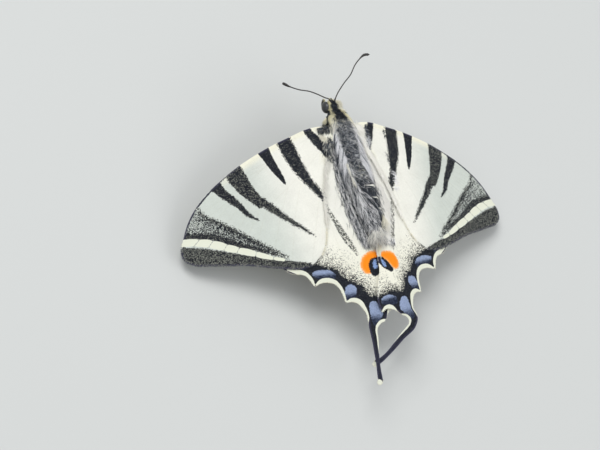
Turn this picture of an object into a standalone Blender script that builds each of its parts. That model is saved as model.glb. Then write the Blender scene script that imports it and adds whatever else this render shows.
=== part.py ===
# Scarce swallowtail butterfly, life size, standing with its wings open.
# Head towards -Y, its left wing towards +X, feet on the floor at Z = 0.
# All sizes below are millimetres; scaleMm turns them into Blender's metres.
import math

import bmesh
import bpy
from mathutils import Matrix, Vector

scaleMm = 0.001
bodyHeight = 13.5        # wing roots above the floor
bodySetback = -17.61     # puts the middle of the outline over the origin
wingThickness = 0.5
gap = 0.3
rootSide = 2.57          # wing hinge from the midline
wingDroop = math.radians(17.2)
wingPitch = math.radians(2.35)
hindDrop = 0.85          # hindwing lies this far under the forewing
wingArch = 0.4           # how far a wing domes between root and tip
tailStart, tailLength = 39.0, 12.6
legRadius = 0.29

# Outlines of the left wings seen flat: u runs outwards from the hinge, v backwards.
# The letter says whether the edge turns a corner (c) or runs on smoothly (s).
foreOutline = (
    ("s", 0.9, -1.6), ("s", 3.6, -2.0), ("s", 8.6, -1.1), ("s", 15.6, 0.8), ("s", 23.8, 4.3),
    ("s", 30.4, 8.8), ("s", 34.2, 14.0), ("s", 35.45, 17.9), ("s", 34.5, 19.4), ("s", 30.0, 21.0),
    ("s", 23.4, 22.6), ("s", 17.6, 24.6), ("s", 12.4, 25.7), ("s", 10.3, 25.0), ("s", 8.1, 22.8),
    ("s", 6.6, 19.0), ("s", 5.2, 12.5), ("s", 2.8, 5.6), ("c", 0.85, 2.0),
)
hindOutline = (
    ("c", 0.65, 2.5), ("s", 4.0, 4.0), ("s", 9.0, 7.8), ("s", 14.0, 13.8), ("s", 17.2, 20.0),
    ("s", 17.6, 23.6), ("s", 15.9, 26.0), ("s", 13.4, 27.1), ("c", 12.1, 29.6), ("s", 9.8, 29.2),
    ("s", 7.7, 30.2), ("c", 6.75, 34.1), ("s", 5.2, 34.3), ("s", 3.75, 36.2), ("s", 3.35, 38.6),
    ("s", 3.3, 42.0), ("s", 4.1, 46.0), ("s", 5.3, 50.0), ("s", 5.2, 51.6), ("s", 4.3, 50.6),
    ("s", 3.2, 46.6), ("s", 1.75, 42.0), ("s", 1.5, 40.2), ("c", 0.0, 39.3), ("c", -1.0, 38.8),
    ("s", -1.6, 37.4), ("s", -3.1, 37.1), ("c", -4.4, 37.7), ("s", -4.8, 35.2), ("s", -4.1, 32.0),
    ("s", -2.8, 29.2), ("s", -2.15, 26.6), ("s", -1.75, 24.8), ("s", -0.6, 21.4), ("s", 0.0, 14.0),
    ("s", 0.3, 8.0), ("c", 0.65, 5.2),
)
# Middle lines of the tails in the body's own frame; the right one swings in under the left.
leftTail = ((4.3, 38.9, -2.7), (5.1, 41.7, -2.9), (5.5, 44.2, -3.2), (5.8, 47.0, -3.5),
            (6.3, 49.8, -3.8), (6.6, 51.4, -4.0))
rightTail = ((-4.3, 38.9, -2.7), (-3.4, 41.2, -3.1), (-0.9, 43.0, -3.7), (2.0, 45.1, -4.5),
             (4.6, 46.7, -5.0), (6.0, 47.0, -5.3))

# Body profiles: station along the body, half width there.
thoraxProfile = ((-4.9, 1.0), (-4.5, 1.55), (-3.6, 2.15), (-2.2, 2.58), (0.2, 2.72),
                 (2.6, 2.66), (4.6, 2.35), (6.0, 1.92), (6.6, 1.75))
thoraxHeight, thoraxAxis = 1.2, -0.95
abdomenFront, abdomenBack, abdomenRadius = 6.9, 22.8, 2.3
abdomenHeight, abdomenAxis, abdomenDroop, abdomenSwing = 1.0, -0.2, math.radians(1.6), math.radians(2.6)
abdomenSegments = 7

# Legs of the left side: hip, knee, ankle, where the foot meets the floor, toe.
legPaths = {
    "fore_leg": ((0.9, -3.0, -4.42), (4.3, -3.3, -6.0), (5.9, -3.4, -11.6), (6.4, -3.1, -13.3), (7.3, -1.7, -13.3)),
    "mid_leg": ((1.1, 0.3, -4.72), (5.6, 1.9, -4.6), (7.9, 3.3, -12.0), (8.9, 4.0, -13.3), (11.2, 5.6, -13.3)),
    "hind_leg": ((1.0, 3.4, -4.62), (4.2, 8.2, -5.4), (6.0, 13.4, -12.3), (6.5, 14.8, -13.3), (7.6, 19.4, -13.3)),
}
leftAntenna = ((0.64, -7.6, -0.2), (1.95, -7.75, 0.3), (3.85, -8.4, 1.0), (5.7, -8.85, 1.65),
               (8.15, -9.1, 2.35), (10.3, -9.65, 3.0), (11.3, -10.0, 3.4), (12.2, -10.2, 3.9))
rightAntenna = ((-0.64, -7.6, -0.2), (-1.6, -8.7, 0.0), (-3.2, -10.3, 0.35), (-5.2, -12.0, 0.6),
                (-6.65, -13.8, 0.8), (-8.0, -15.0, 0.9), (-9.3, -15.8, 1.1), (-10.5, -15.7, 1.35))

colours = {
    "wing": ((0.82, 0.81, 0.7, 1), 0.7),
    "hair": ((0.2, 0.2, 0.22, 1), 0.9),
    "eye": ((0.02, 0.02, 0.022, 1), 0.25),
    "horn": ((0.025, 0.022, 0.02, 1), 0.45),
    "leg": ((0.3, 0.27, 0.2, 1), 0.7),
}


def clearScene():
    for thing in list(bpy.data.objects):
        bpy.data.objects.remove(thing, do_unlink=True)
    for group in list(bpy.data.collections):
        bpy.data.collections.remove(group)


def makeMaterial(name):
    colour, roughness = colours[name]
    material = bpy.data.materials.new(name)
    material.use_nodes = True
    shader = material.node_tree.nodes["Principled BSDF"]
    shader.inputs["Base Color"].default_value = colour
    shader.inputs["Roughness"].default_value = roughness
    shader.inputs["Metallic"].default_value = 0.0
    return material


def addPart(name, mesh, material, location=(0, 0, 0)):
    part = bpy.data.objects.new(name, mesh)
    part.location = Vector(location) * scaleMm
    part.parent = bodyEmpty
    mesh.materials.clear()
    mesh.materials.append(materials[material])
    partsGroup.objects.link(part)
    return part


def meshFromCurve(curve):
    """The curve's evaluated surface as a mesh, its caps welded to its sides."""
    holder = bpy.data.objects.new("guide", curve)
    cuttersGroup.objects.link(holder)
    bpy.context.view_layer.update()
    evaluated = holder.evaluated_get(bpy.context.evaluated_depsgraph_get())
    mesh = bpy.data.meshes.new_from_object(evaluated)
    bpy.data.objects.remove(holder, do_unlink=True)
    work = bmesh.new()
    work.from_mesh(mesh)
    bmesh.ops.remove_doubles(work, verts=work.verts, dist=1e-6)
    work.to_mesh(mesh)
    work.free()
    return mesh


def smoothStep(low, high, value):
    t = min(1.0, max(0.0, (value - low) / (high - low)))
    return t * t * (3 - 2 * t)


def alongPath(points, share):
    """Point and direction at a share of a Catmull-Rom curve through the points."""
    spans = len(points) - 1
    place = min(max(share, 0.0), 1.0) * spans
    i = min(int(place), spans - 1)
    t = place - i
    p1, p2 = Vector(points[i]), Vector(points[i + 1])
    p0 = Vector(points[i - 1]) if i else p1 * 2 - p2
    p3 = Vector(points[i + 2]) if i + 2 <= spans else p2 * 2 - p1
    point = 0.5 * ((2 * p1) + (p2 - p0) * t + (2 * p0 - 5 * p1 + 4 * p2 - p3) * t * t
                   + (3 * p1 - p0 - 3 * p2 + p3) * t ** 3)
    heading = 0.5 * ((p2 - p0) + (4 * p0 - 10 * p1 + 8 * p2 - 2 * p3) * t
                     + (9 * p1 - 3 * p0 - 9 * p2 + 3 * p3) * t * t)
    return point, heading.normalized()


def wingAxes():
    outwards = Vector((math.cos(wingDroop), 0, -math.sin(wingDroop)))
    backwards = Vector((0, math.cos(wingPitch), -math.sin(wingPitch)))
    backwards = (backwards - outwards * backwards.dot(outwards)).normalized()
    return outwards, backwards, outwards.cross(backwards)


def wingPoint(side, u, v, hind):
    """Where a point of the flat outline sits on the opened wing, in the body's frame."""
    outwards, backwards, upwards = wingAxes()
    dome = wingArch * math.sin(math.pi * min(1.0, max(0.0, u / 37)))
    point = Vector((rootSide, 0, 0)) + outwards * u + backwards * v
    point += upwards * (dome - (hindDrop if hind else 0.0))
    if hind:
        # The planes level out near the midline instead of crossing there,
        # and the right wing's inner lobe lies over the left one.
        beside = point.x - rootSide
        levelled = 0.5 * (beside + math.sqrt(beside * beside + 1.4))
        point.z += math.tan(wingDroop) * (beside - levelled)
        inner = smoothStep(5.4, 3.1, point.x) * smoothStep(21.5, 25.5, v)
        point.z -= side * 0.44 * inner
        lean = smoothStep(6.5, 1.5, point.x) * smoothStep(8, 22, v) * smoothStep(37, 30, v)
        point.x -= side * 0.5 * lean
    point.x *= side
    if hind and v > tailStart - 1.6:
        middle = 1.75 + 0.265 * (v - tailStart)
        centre, heading = alongPath(leftTail if side > 0 else rightTail, (v - tailStart) / tailLength)
        if v < tailStart:
            centre -= heading * (tailStart - v)
        across = heading.cross(Vector((0, 0, 1))).normalized() * side
        onTail = centre + across * (u - middle)
        point = point.lerp(onTail, smoothStep(tailStart - 1.6, tailStart + 1.6, v))
    return point


def flatOutline(points):
    """A filled flat curve through the outline's points, in millimetres."""
    curve = bpy.data.curves.new("outline", "CURVE")
    curve.dimensions = "2D"
    curve.fill_mode = "BOTH"
    curve.resolution_u = 4
    spline = curve.splines.new("BEZIER")
    spline.bezier_points.add(len(points) - 1)
    spline.use_cyclic_u = True
    for spot, (kind, u, v) in zip(spline.bezier_points, points):
        spot.co = (u, v, 0)
        spot.handle_left_type = spot.handle_right_type = "AUTO" if kind == "s" else "VECTOR"
    return meshFromCurve(curve)


def makeWing(name, outline, side, hind):
    mesh = flatOutline(outline)
    work = bmesh.new()
    work.from_mesh(mesh)
    bmesh.ops.dissolve_faces(work, faces=work.faces[:])
    # Ribs across and along the wing let the flat panel take its dome and its folds.
    cuts = [(Vector((u, 0, 0)), Vector((1, 0, 0))) for u in range(-4, 36, 3)]
    cuts += [(Vector((0, v, 0)), Vector((0, 1, 0))) for v in range(0, 51, 3)]
    if hind:
        cuts += [(Vector((0, v, 0)), Vector((0, 1, 0))) for v in (23, 25, 26, 28, 37.6, 38.4, 40, 41.3, 43, 44, 46, 47, 49)]
        cuts += [(Vector((u, 0, 0)), Vector((1, 0, 0))) for u in (-2, -0.5, 0.5)]
    for spot, across in cuts:
        everything = work.verts[:] + work.edges[:] + work.faces[:]
        bmesh.ops.bisect_plane(work, geom=everything, dist=1e-5, plane_co=spot, plane_no=across)
    bmesh.ops.remove_doubles(work, verts=work.verts, dist=0.02)
    root = wingPoint(side, 0, 4 if hind else 0, hind)
    for vert in work.verts:
        vert.co = (wingPoint(side, vert.co.x, vert.co.y, hind) - root) * scaleMm
    bmesh.ops.triangulate(work, faces=work.faces[:])
    bmesh.ops.recalc_face_normals(work, faces=work.faces[:])
    if sum(face.normal.z for face in work.faces) < 0:
        bmesh.ops.reverse_faces(work, faces=work.faces[:])
    work.to_mesh(mesh)
    work.free()
    wing = addPart(name, mesh, "wing", root)
    shell = wing.modifiers.new("thickness", "SOLIDIFY")
    shell.thickness = wingThickness * scaleMm
    shell.offset = 0
    shell.use_even_offset = False
    return wing


def turnedBody(name, profile, height, location, droop, swing, material):
    """A profile of (station, half width) turned about the body's long axis, then flattened."""
    mesh = bpy.data.meshes.new(name)
    work = bmesh.new()
    points = [(profile[0][0], 0.0)] + list(profile) + [(profile[-1][0], 0.0)]
    verts = [work.verts.new((radius * scaleMm, station * scaleMm, 0)) for station, radius in points]
    for first, second in zip(verts, verts[1:]):
        work.edges.new((first, second))
    bmesh.ops.spin(work, geom=work.verts[:] + work.edges[:], cent=(0, 0, 0), axis=(0, 1, 0),
                   angle=math.tau, steps=24, use_merge=True)
    bmesh.ops.remove_doubles(work, verts=work.verts, dist=1e-6)
    bmesh.ops.transform(work, verts=work.verts, matrix=Matrix.Diagonal((1, 1, height, 1)))
    bmesh.ops.recalc_face_normals(work, faces=work.faces[:])
    work.to_mesh(mesh)
    work.free()
    mesh.shade_smooth()
    part = addPart(name, mesh, material, location)
    part.rotation_euler = (droop, 0, swing)
    return part


def ellipsoid(radii, centre, segments=20, rings=12):
    work = bmesh.new()
    bmesh.ops.create_uvsphere(work, u_segments=segments, v_segments=rings, radius=1.0)
    size = Matrix.Diagonal((radii[0] * scaleMm, radii[1] * scaleMm, radii[2] * scaleMm, 1))
    bmesh.ops.transform(work, verts=work.verts, matrix=Matrix.Translation(Vector(centre) * scaleMm) @ size)
    mesh = bpy.data.meshes.new("ellipsoid")
    work.to_mesh(mesh)
    work.free()
    mesh.shade_smooth()
    return mesh


def roundedPath(corners, rounding, steps):
    """The corners joined by straight runs, each inner corner eased into a short arc."""
    points = [Vector(corners[0])]
    for before, corner, after in zip(corners, corners[1:], corners[2:]):
        before, corner, after = Vector(before), Vector(corner), Vector(after)
        enter = corner + (before - corner).normalized() * min(rounding, (before - corner).length * 0.45)
        leave = corner + (after - corner).normalized() * min(rounding, (after - corner).length * 0.45)
        for step in range(steps + 1):
            t = step / steps
            points.append(enter * (1 - t) ** 2 + corner * 2 * t * (1 - t) + leave * t * t)
    points.append(Vector(corners[-1]))
    return points


def makeTube(name, points, radii, material, floor=None):
    """A round tube through the points with a radius at each; what dips below the floor is flattened."""
    curve = bpy.data.curves.new(name, "CURVE")
    curve.dimensions = "3D"
    curve.bevel_depth = scaleMm
    curve.bevel_resolution = 2
    curve.use_fill_caps = True
    spline = curve.splines.new("POLY")
    spline.points.add(len(points) - 1)
    for spot, point, radius in zip(spline.points, points, radii):
        spot.co = (*(Vector(point) * scaleMm), 1)
        spot.radius = radius
    mesh = meshFromCurve(curve)
    if floor is not None:
        for vert in mesh.vertices:
            vert.co.z = max(vert.co.z, floor * scaleMm)
    mesh.shade_smooth()
    return addPart(name, mesh, material)


def makeLeg(name, corners, side):
    corners = [(x * side, y, z) for x, y, z in corners]
    points = roundedPath(corners, 0.9, 3)
    last = len(points) - 1
    radii = []
    for i in range(len(points)):
        share = i / last
        radii.append(legRadius + 0.17 * smoothStep(0.42, 0.02, share) + 0.04 * smoothStep(0.75, 0.5, share))
    return makeTube(name, points, radii, "leg", -bodyHeight)


def makeAntenna(name, path):
    steps = 22
    points, radii = [], []
    for step in range(steps + 1):
        share = step / steps
        points.append(alongPath(path, share)[0])
        radii.append(0.26 + 0.16 * smoothStep(0.78, 0.93, share) - 0.1 * smoothStep(0.94, 1.0, share))
    return makeTube(name, points, radii, "horn")


clearScene()
partsGroup = bpy.data.collections.new("swallowtail_butterfly")
cuttersGroup = bpy.data.collections.new("cutters")
bpy.context.scene.collection.children.link(partsGroup)
bpy.context.scene.collection.children.link(cuttersGroup)
materials = {name: makeMaterial(name) for name in colours}
bodyEmpty = bpy.data.objects.new("body_frame", None)
bodyEmpty.location = (0, bodySetback * scaleMm, bodyHeight * scaleMm)
partsGroup.objects.link(bodyEmpty)

# Thorax, and an abdomen with a shallow groove between its rings
turnedBody("thorax", thoraxProfile, thoraxHeight, (0, 0, thoraxAxis), 0, 0, "hair")
abdomenProfile = []
abdomenSteps = abdomenSegments * 4
for step in range(abdomenSteps + 1):
    share = step / abdomenSteps
    swell = (0.78 + 0.22 * smoothStep(0, 0.3, share)) * (1 - 0.22 * share ** 1.5) * (1 - share ** 5) ** 0.5
    groove = 0.97 + 0.03 * abs(math.sin(math.pi * share * abdomenSegments))
    station = (abdomenBack - abdomenFront) * share
    abdomenProfile.append((station, max(0.28, abdomenRadius * swell * groove)))
turnedBody("abdomen", abdomenProfile, abdomenHeight, (0, abdomenFront, abdomenAxis), -abdomenDroop, abdomenSwing, "hair")

# Head, and eyes that sit on its sides, hollowed where the head comes between them
headCentre, headRadii = (0, -6.4, -1.3), (1.25, 1.2, 1.3)
eyeRadii, eyeSide = (0.95, 1.12, 1.2), 1.1
addPart("head", ellipsoid(headRadii, (0, 0, 0)), "hair", headCentre)
for side, word in ((1, "left"), (-1, "right")):
    eyeCentre = (side * eyeSide, -6.45, -1.5)
    eye = addPart(f"eye_{word}", ellipsoid(eyeRadii, (0, 0, 0), 18, 10), "eye", eyeCentre)
    fitRadii = [radius + gap for radius in headRadii]
    cutter = bpy.data.objects.new(f"eye_cutter_{word}", ellipsoid(fitRadii, (0, 0, 0), 24, 16))
    cutter.location = Vector(headCentre) * scaleMm
    cutter.parent = bodyEmpty
    cutter.hide_render = True
    cutter.display_type = "WIRE"
    cuttersGroup.objects.link(cutter)
    cut = eye.modifiers.new("head side", "BOOLEAN")
    cut.operation = "DIFFERENCE"
    cut.object = cutter

# Palps either side of the coiled tongue
for side, word in ((1, "left"), (-1, "right")):
    palpPath = [(side * x, y, z) for x, y, z in
                ((0.82, -6.9, -3.35), (0.84, -7.7, -3.1), (0.82, -8.35, -2.5), (0.74, -8.65, -1.75))]
    palpPoints = [alongPath(palpPath, step / 8)[0] for step in range(9)]
    palpRadii = [0.3 + 0.08 * math.sin(math.pi * step / 8) for step in range(9)]
    makeTube(f"palp_{word}", palpPoints, palpRadii, "hair")
tongueCentre, tongueTurns, tongueSteps = Vector((0, -7.75, -3.95)), 1.05, 22
tonguePoints = []
for step in range(tongueSteps + 1):
    share = step / tongueSteps
    angle = math.radians(60) + math.tau * tongueTurns * share
    reach = 1.1 - 0.8 * share
    tonguePoints.append(tongueCentre + Vector((0, math.cos(angle), math.sin(angle))) * reach)
makeTube("proboscis", tonguePoints, [0.25] * len(tonguePoints), "horn")

makeAntenna("antenna_left", leftAntenna)
makeAntenna("antenna_right", rightAntenna)
for name, corners in legPaths.items():
    makeLeg(f"{name}_left", corners, 1)
    makeLeg(f"{name}_right", corners, -1)
for side, word in ((1, "left"), (-1, "right")):
    makeWing(f"forewing_{word}", foreOutline, side, False)
    makeWing(f"hindwing_{word}", hindOutline, side, True)
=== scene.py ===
import math

import bmesh
import bpy
import numpy as np
from mathutils import Matrix, Vector, kdtree
from mathutils.geometry import delaunay_2d_cdt, interpolate_bezier


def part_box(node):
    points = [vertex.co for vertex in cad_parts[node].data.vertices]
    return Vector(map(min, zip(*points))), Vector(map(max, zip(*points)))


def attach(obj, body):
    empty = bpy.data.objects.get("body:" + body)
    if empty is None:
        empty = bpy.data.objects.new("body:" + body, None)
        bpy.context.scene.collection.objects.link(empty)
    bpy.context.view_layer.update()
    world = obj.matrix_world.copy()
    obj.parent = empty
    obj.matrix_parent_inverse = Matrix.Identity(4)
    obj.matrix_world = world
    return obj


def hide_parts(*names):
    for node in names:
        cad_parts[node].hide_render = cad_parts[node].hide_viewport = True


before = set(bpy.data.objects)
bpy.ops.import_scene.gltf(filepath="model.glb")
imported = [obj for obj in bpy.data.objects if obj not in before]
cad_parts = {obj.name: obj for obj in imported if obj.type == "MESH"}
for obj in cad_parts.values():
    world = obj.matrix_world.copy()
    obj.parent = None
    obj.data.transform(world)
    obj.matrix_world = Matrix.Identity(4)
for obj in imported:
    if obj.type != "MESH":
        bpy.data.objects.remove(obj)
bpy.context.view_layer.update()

# Scarce swallowtail at life size: wings, skin, coat and small parts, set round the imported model.
# Shapes are worked out in millimetres in the body's own frame: left wing to +X, tail to +Y,
# wing hinges at height 0. inFrame turns them into the model's metres.
mm = 0.001
dice = np.random.default_rng(41)
thoraxLow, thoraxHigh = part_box("thorax")
thoraxFront, thoraxTop = -4.9, 2.314
bodyOrigin = np.array((0.0, thoraxLow.y / mm - thoraxFront, thoraxHigh.z / mm - thoraxTop))
floorLevel = -bodyOrigin[2]
sideWords = {1: "left", -1: "right"}
patchSize = 0.003       # each tuft's patch on the coat's map
rowShare = 0.866        # height of a triangle with sides of 1
print("frame read, wing hinges", round(float(bodyOrigin[2]), 2), "mm above the floor")


def inFrame(points):
    return (np.asarray(points, float) + bodyOrigin) * mm


def smoothStep(low, high, value):
    t = np.clip((np.asarray(value, float) - low) / (high - low), 0.0, 1.0)
    return t * t * (3 - 2 * t)


def bell(value, width):
    return np.exp(-(value / width) ** 2)


def unit(vectors):
    return vectors / np.maximum(np.linalg.norm(vectors, axis=-1, keepdims=True), 1e-9)


def asRows(*columns):
    return np.stack(np.broadcast_arrays(*columns), -1)


def makeTree(spots):
    tree = kdtree.KDTree(len(spots))
    for index, spot in enumerate(spots):
        tree.insert(spot, index)
    tree.balance()
    return tree


# Points and headings on a smooth curve through the given points, at shares of its length in spans
def alongPath(points, share):
    points = np.asarray(points, float)
    spans = len(points) - 1
    place = np.clip(np.asarray(share, float), 0.0, 1.0) * spans
    first = np.minimum(place.astype(int), spans - 1)
    t = (place - first)[..., None]
    padded = np.vstack([2 * points[0] - points[1], points, 2 * points[-1] - points[-2]])
    p0, p1, p2, p3 = (padded[first + k] for k in range(4))
    spot = 0.5 * (2 * p1 + (p2 - p0) * t + (2 * p0 - 5 * p1 + 4 * p2 - p3) * t ** 2
                  + (3 * p1 - p0 - 3 * p2 + p3) * t ** 3)
    heading = 0.5 * ((p2 - p0) + (4 * p0 - 10 * p1 + 8 * p2 - 2 * p3) * t
                     + (9 * p1 - 3 * p0 - 9 * p2 + 3 * p3) * t ** 2)
    return spot, unit(heading)


def reachAlong(line):
    return np.concatenate([[0], np.cumsum(np.linalg.norm(np.diff(line, axis=0), axis=1))])


def resample(line, place):
    reach = reachAlong(line)
    return asRows(*(np.interp(place, reach, column) for column in line.T))


def meshFromArrays(name, points, faceGroups, numbers=None, coatMap=None):
    mesh = bpy.data.meshes.new(name)
    corners = np.concatenate([np.asarray(group).ravel() for group in faceGroups]).astype(np.int32)
    sizes = np.concatenate([np.full(len(group), np.asarray(group).shape[1]) for group in faceGroups])
    mesh.vertices.add(len(points))
    mesh.vertices.foreach_set("co", inFrame(points).astype(np.float32).ravel())
    mesh.loops.add(len(corners))
    mesh.loops.foreach_set("vertex_index", corners)
    mesh.polygons.add(len(sizes))
    starts = np.concatenate([[0], np.cumsum(sizes)[:-1]])
    mesh.polygons.foreach_set("loop_start", starts.astype(np.int32))
    mesh.update(calc_edges=True)
    for key, values in (numbers or {}).items():
        values = np.asarray(values, np.float32)
        kind, field = ("FLOAT", "value") if values.ndim == 1 else ("FLOAT_VECTOR", "vector")
        mesh.attributes.new(key, kind, "POINT").data.foreach_set(field, values.ravel())
    if coatMap is not None:
        layer = mesh.uv_layers.new(name="OFBake")
        layer.uv.foreach_set("vector", np.asarray(coatMap, np.float32)[corners].ravel())
    mesh.shade_smooth()
    return mesh


# Each piece rides the body, takes its finish and may stand for nodes of the imported model
def addPiece(name, mesh, material, nodes=()):
    piece = bpy.data.objects.new(name, mesh)
    bpy.context.scene.collection.objects.link(piece)
    mesh.materials.append(material)
    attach(piece, "root")
    if nodes:
        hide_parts(*nodes)
    sizes = np.empty(len(mesh.polygons), np.int32)
    mesh.polygons.foreach_get("loop_total", sizes)
    print(name, int((sizes - 2).sum()), "triangles")


# Faces of rings of points, then a fan at each end to the two points after them
def ringFaces(rings, sides):
    ring, turn = np.meshgrid(np.arange(rings - 1), np.arange(sides), indexing="ij")
    after = (turn + 1) % sides
    quads = asRows(ring * sides + turn, (ring + 1) * sides + turn,
                   (ring + 1) * sides + after, ring * sides + after).reshape(-1, 4)
    last, end = (rings - 1) * sides, rings * sides
    spin = np.arange(sides)
    following = (spin + 1) % sides
    fans = asRows(end, spin, following), asRows(end + 1, last + following, last + spin)
    return [quads, np.vstack(fans)]


# A round or flattened tube along a line of centres: points, faces, and the numbers its finish reads
def tubePart(centres, radii, shade, sides=10, flatness=1.0, up=(0, 0, 1)):
    centres, radii = np.asarray(centres, float), np.asarray(radii, float)
    headings = unit(np.gradient(centres, axis=0))
    frames = []
    across = unit(np.cross(headings[0], up))
    for heading in headings:  # the frame turns as little as it can along the line
        across = unit(across - heading * (across @ heading))
        frames.append((across, np.cross(across, heading)))
    angles = np.linspace(0, 2 * np.pi, sides, endpoint=False)
    rings = [centre + radius * (np.outer(np.cos(angles), a) + flatness * np.outer(np.sin(angles), b))
             for centre, radius, (a, b) in zip(centres, radii, frames)]
    points = np.vstack(rings + [centres[:1], centres[-1:]])
    shares = np.linspace(0, 1, len(centres))
    share = np.concatenate([np.repeat(shares, sides), (0, 1)])
    around = np.concatenate([np.tile(angles, len(centres)), (0, 0)])
    length = np.linalg.norm(np.diff(centres, axis=0), axis=1).sum()
    shades = np.interp(share, shares, np.broadcast_to(shade, len(centres)))
    place = asRows(share * length, around * np.mean(radii), centres[0][0])
    return points, ringFaces(len(centres), sides), {"shade": shades, "round": place}


# Parts joined into one piece
def makePiece(name, parts, material, nodes=()):
    points, groups, numbers, base = [], [], {}, 0
    for spots, faces, values in parts:
        points.append(spots)
        groups += [group + base for group in faces]
        for key, value in values.items():
            numbers.setdefault(key, []).append(value)
        base += len(spots)
    numbers = {key: np.concatenate(value) for key, value in numbers.items()}
    addPiece(name, meshFromArrays(name, np.vstack(points), groups, numbers), material, nodes)


# Hairs, locks and scales: slender three-sided spikes along given paths. lies is a direction across
# the flat side. Each spike takes a small patch of the coat's map.
def growTufts(name, paths, widths, lies, shade, warm, places):
    thinness, blunt = 0.35, 0.55
    count, rings = len(paths), paths.shape[1] - 1
    t = np.linspace(0, 1, rings + 1)[:-1]
    headings = unit(np.diff(paths, axis=1))
    across = unit(np.cross(headings, lies[:, None]))
    lift = np.cross(across, headings)
    taper = (1 - t) ** blunt * (0.72 + 0.28 * np.sin(np.pi * np.clip(t * 1.4, 0, 1)))
    half = widths[:, None, None] * taper[None, :, None] * 0.5
    path = paths[:, :-1]
    corners = [path - across * half, path + across * half, path + lift * half * thinness * 2]
    points = np.concatenate([np.stack(corners, 2).reshape(count, rings * 3, 3), paths[:, -1:]], 1)
    step, top = rings * 3 + 1, (rings - 1) * 3
    turns = [(k, (k + 1) % 3) for k in range(3)]
    quads = [(low + a, low + b, low + b + 3, low + a + 3) for low in range(0, top, 3) for a, b in turns]
    spikes = [(top + a, top + b, step - 1) for a, b in turns] + [(0, 2, 1)]
    base = (np.arange(count) * step)[:, None, None]
    faceGroups = [(base + np.array(shape)).reshape(-1, len(shape[0])) for shape in (quads, spikes)]
    along = np.concatenate([np.repeat(t, 3), [1.0]])
    patch = asRows(np.concatenate([np.tile((0, 1, 0.5), rings), [0.5]]), along) * patchSize
    coatMap = np.clip(places[:, None] + patch[None], 0, 1).reshape(-1, 2)
    values = {"shade": shade, "warm": warm, "lock": dice.random(count)}
    values = {key: np.repeat(np.broadcast_to(value, count), step) for key, value in values.items()}
    values["along"] = np.tile(along, count)
    mesh = meshFromArrays(name, points.reshape(-1, 3), faceGroups, values, coatMap)
    addPiece(name, mesh, hairFinish)
# Opened wings: each is drawn flat, u outwards from the hinge and v backwards, then laid in place
wingSet = {
    "droop": 17.2, "pitch": 2.35, "rootSide": 2.57, "hindDrop": 0.85, "arch": 0.4,
    "tailStart": 39.0, "tailLength": 12.6, "tailMiddle": 1.75, "tailLean": 0.265,
    "grain": 0.2,           # spacing of the sheet's points
    "marginGap": 0.55,      # room between the margin and the points inside it, in spacings
    "sharp": 55,            # edges that turn by more degrees than this stay sharp
    "archEnd": 37,          # where the wing's arch comes down again
    "thickness": 0.15, "edgeThickness": 0.06,
    "veinHeight": 0.05, "veinWidth": 0.13, "billow": 0.07,
    "tuck": 0.58, "edgeTurn": 0.22,
    "foreEdge": ((-1, 2, 5.6, 12.5, 19, 22.8, 25, 26), (0.2, 0.85, 2.8, 5.2, 6.6, 8.1, 10.3, 13)),
}
# Margins, and which of their points are sharp corners
foreOutline = ((-0.5, -0.9), (0.9, -1.6), (3.6, -2.0), (8.6, -1.1), (15.6, 0.8), (23.8, 4.3),
               (30.4, 8.8), (34.2, 14.0), (35.45, 17.9), (34.5, 19.4), (30.0, 21.0), (23.4, 22.6),
               (17.6, 24.6), (12.4, 25.7), (10.3, 25.0), (8.1, 22.8), (6.6, 19.0), (5.2, 12.5),
               (2.8, 5.6), (0.85, 2.0), (-0.5, 1.0))
foreCorners = (20,)
hindOutline = ((-0.4, 2.6), (0.65, 2.7), (4.0, 4.0), (9.0, 7.8), (14.0, 13.8), (17.2, 20.0),
               (17.6, 23.6), (15.9, 26.0), (13.4, 27.1), (12.1, 29.6), (9.8, 29.2), (7.7, 30.2),
               (6.75, 34.1), (5.2, 34.3), (3.75, 36.2), (3.35, 38.6), (3.2, 42.0), (4.0, 46.0),
               (4.85, 49.8), (5.1, 51.5), (4.4, 51.0), (3.3, 46.6), (1.75, 42.0), (1.45, 40.4),
               (0.7, 39.45), (-0.5, 38.95), (-0.95, 38.0), (-1.75, 37.35), (-3.1, 37.1),
               (-4.4, 37.7), (-4.8, 35.2), (-4.1, 32.0), (-3.0, 29.2), (-2.55, 26.8), (-2.4, 24.9),
               (-2.0, 23.0), (-1.2, 20.6), (-0.2, 16.0), (0.2, 8.0), (-0.4, 5.0))
hindCorners = (0, 9, 12, 25, 29, 39)
leftTail = ((4.3, 38.9, -2.7), (5.1, 41.7, -2.9), (5.5, 44.2, -3.2), (5.8, 47.0, -3.5),
            (6.3, 49.8, -3.8), (6.6, 51.4, -4.0))
rightTail = ((-4.3, 38.9, -2.7), (-3.4, 41.2, -3.1), (-0.9, 43.0, -3.7), (2.0, 45.1, -4.5),
             (4.6, 46.7, -5.0), (6.0, 47.0, -5.3))


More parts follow.
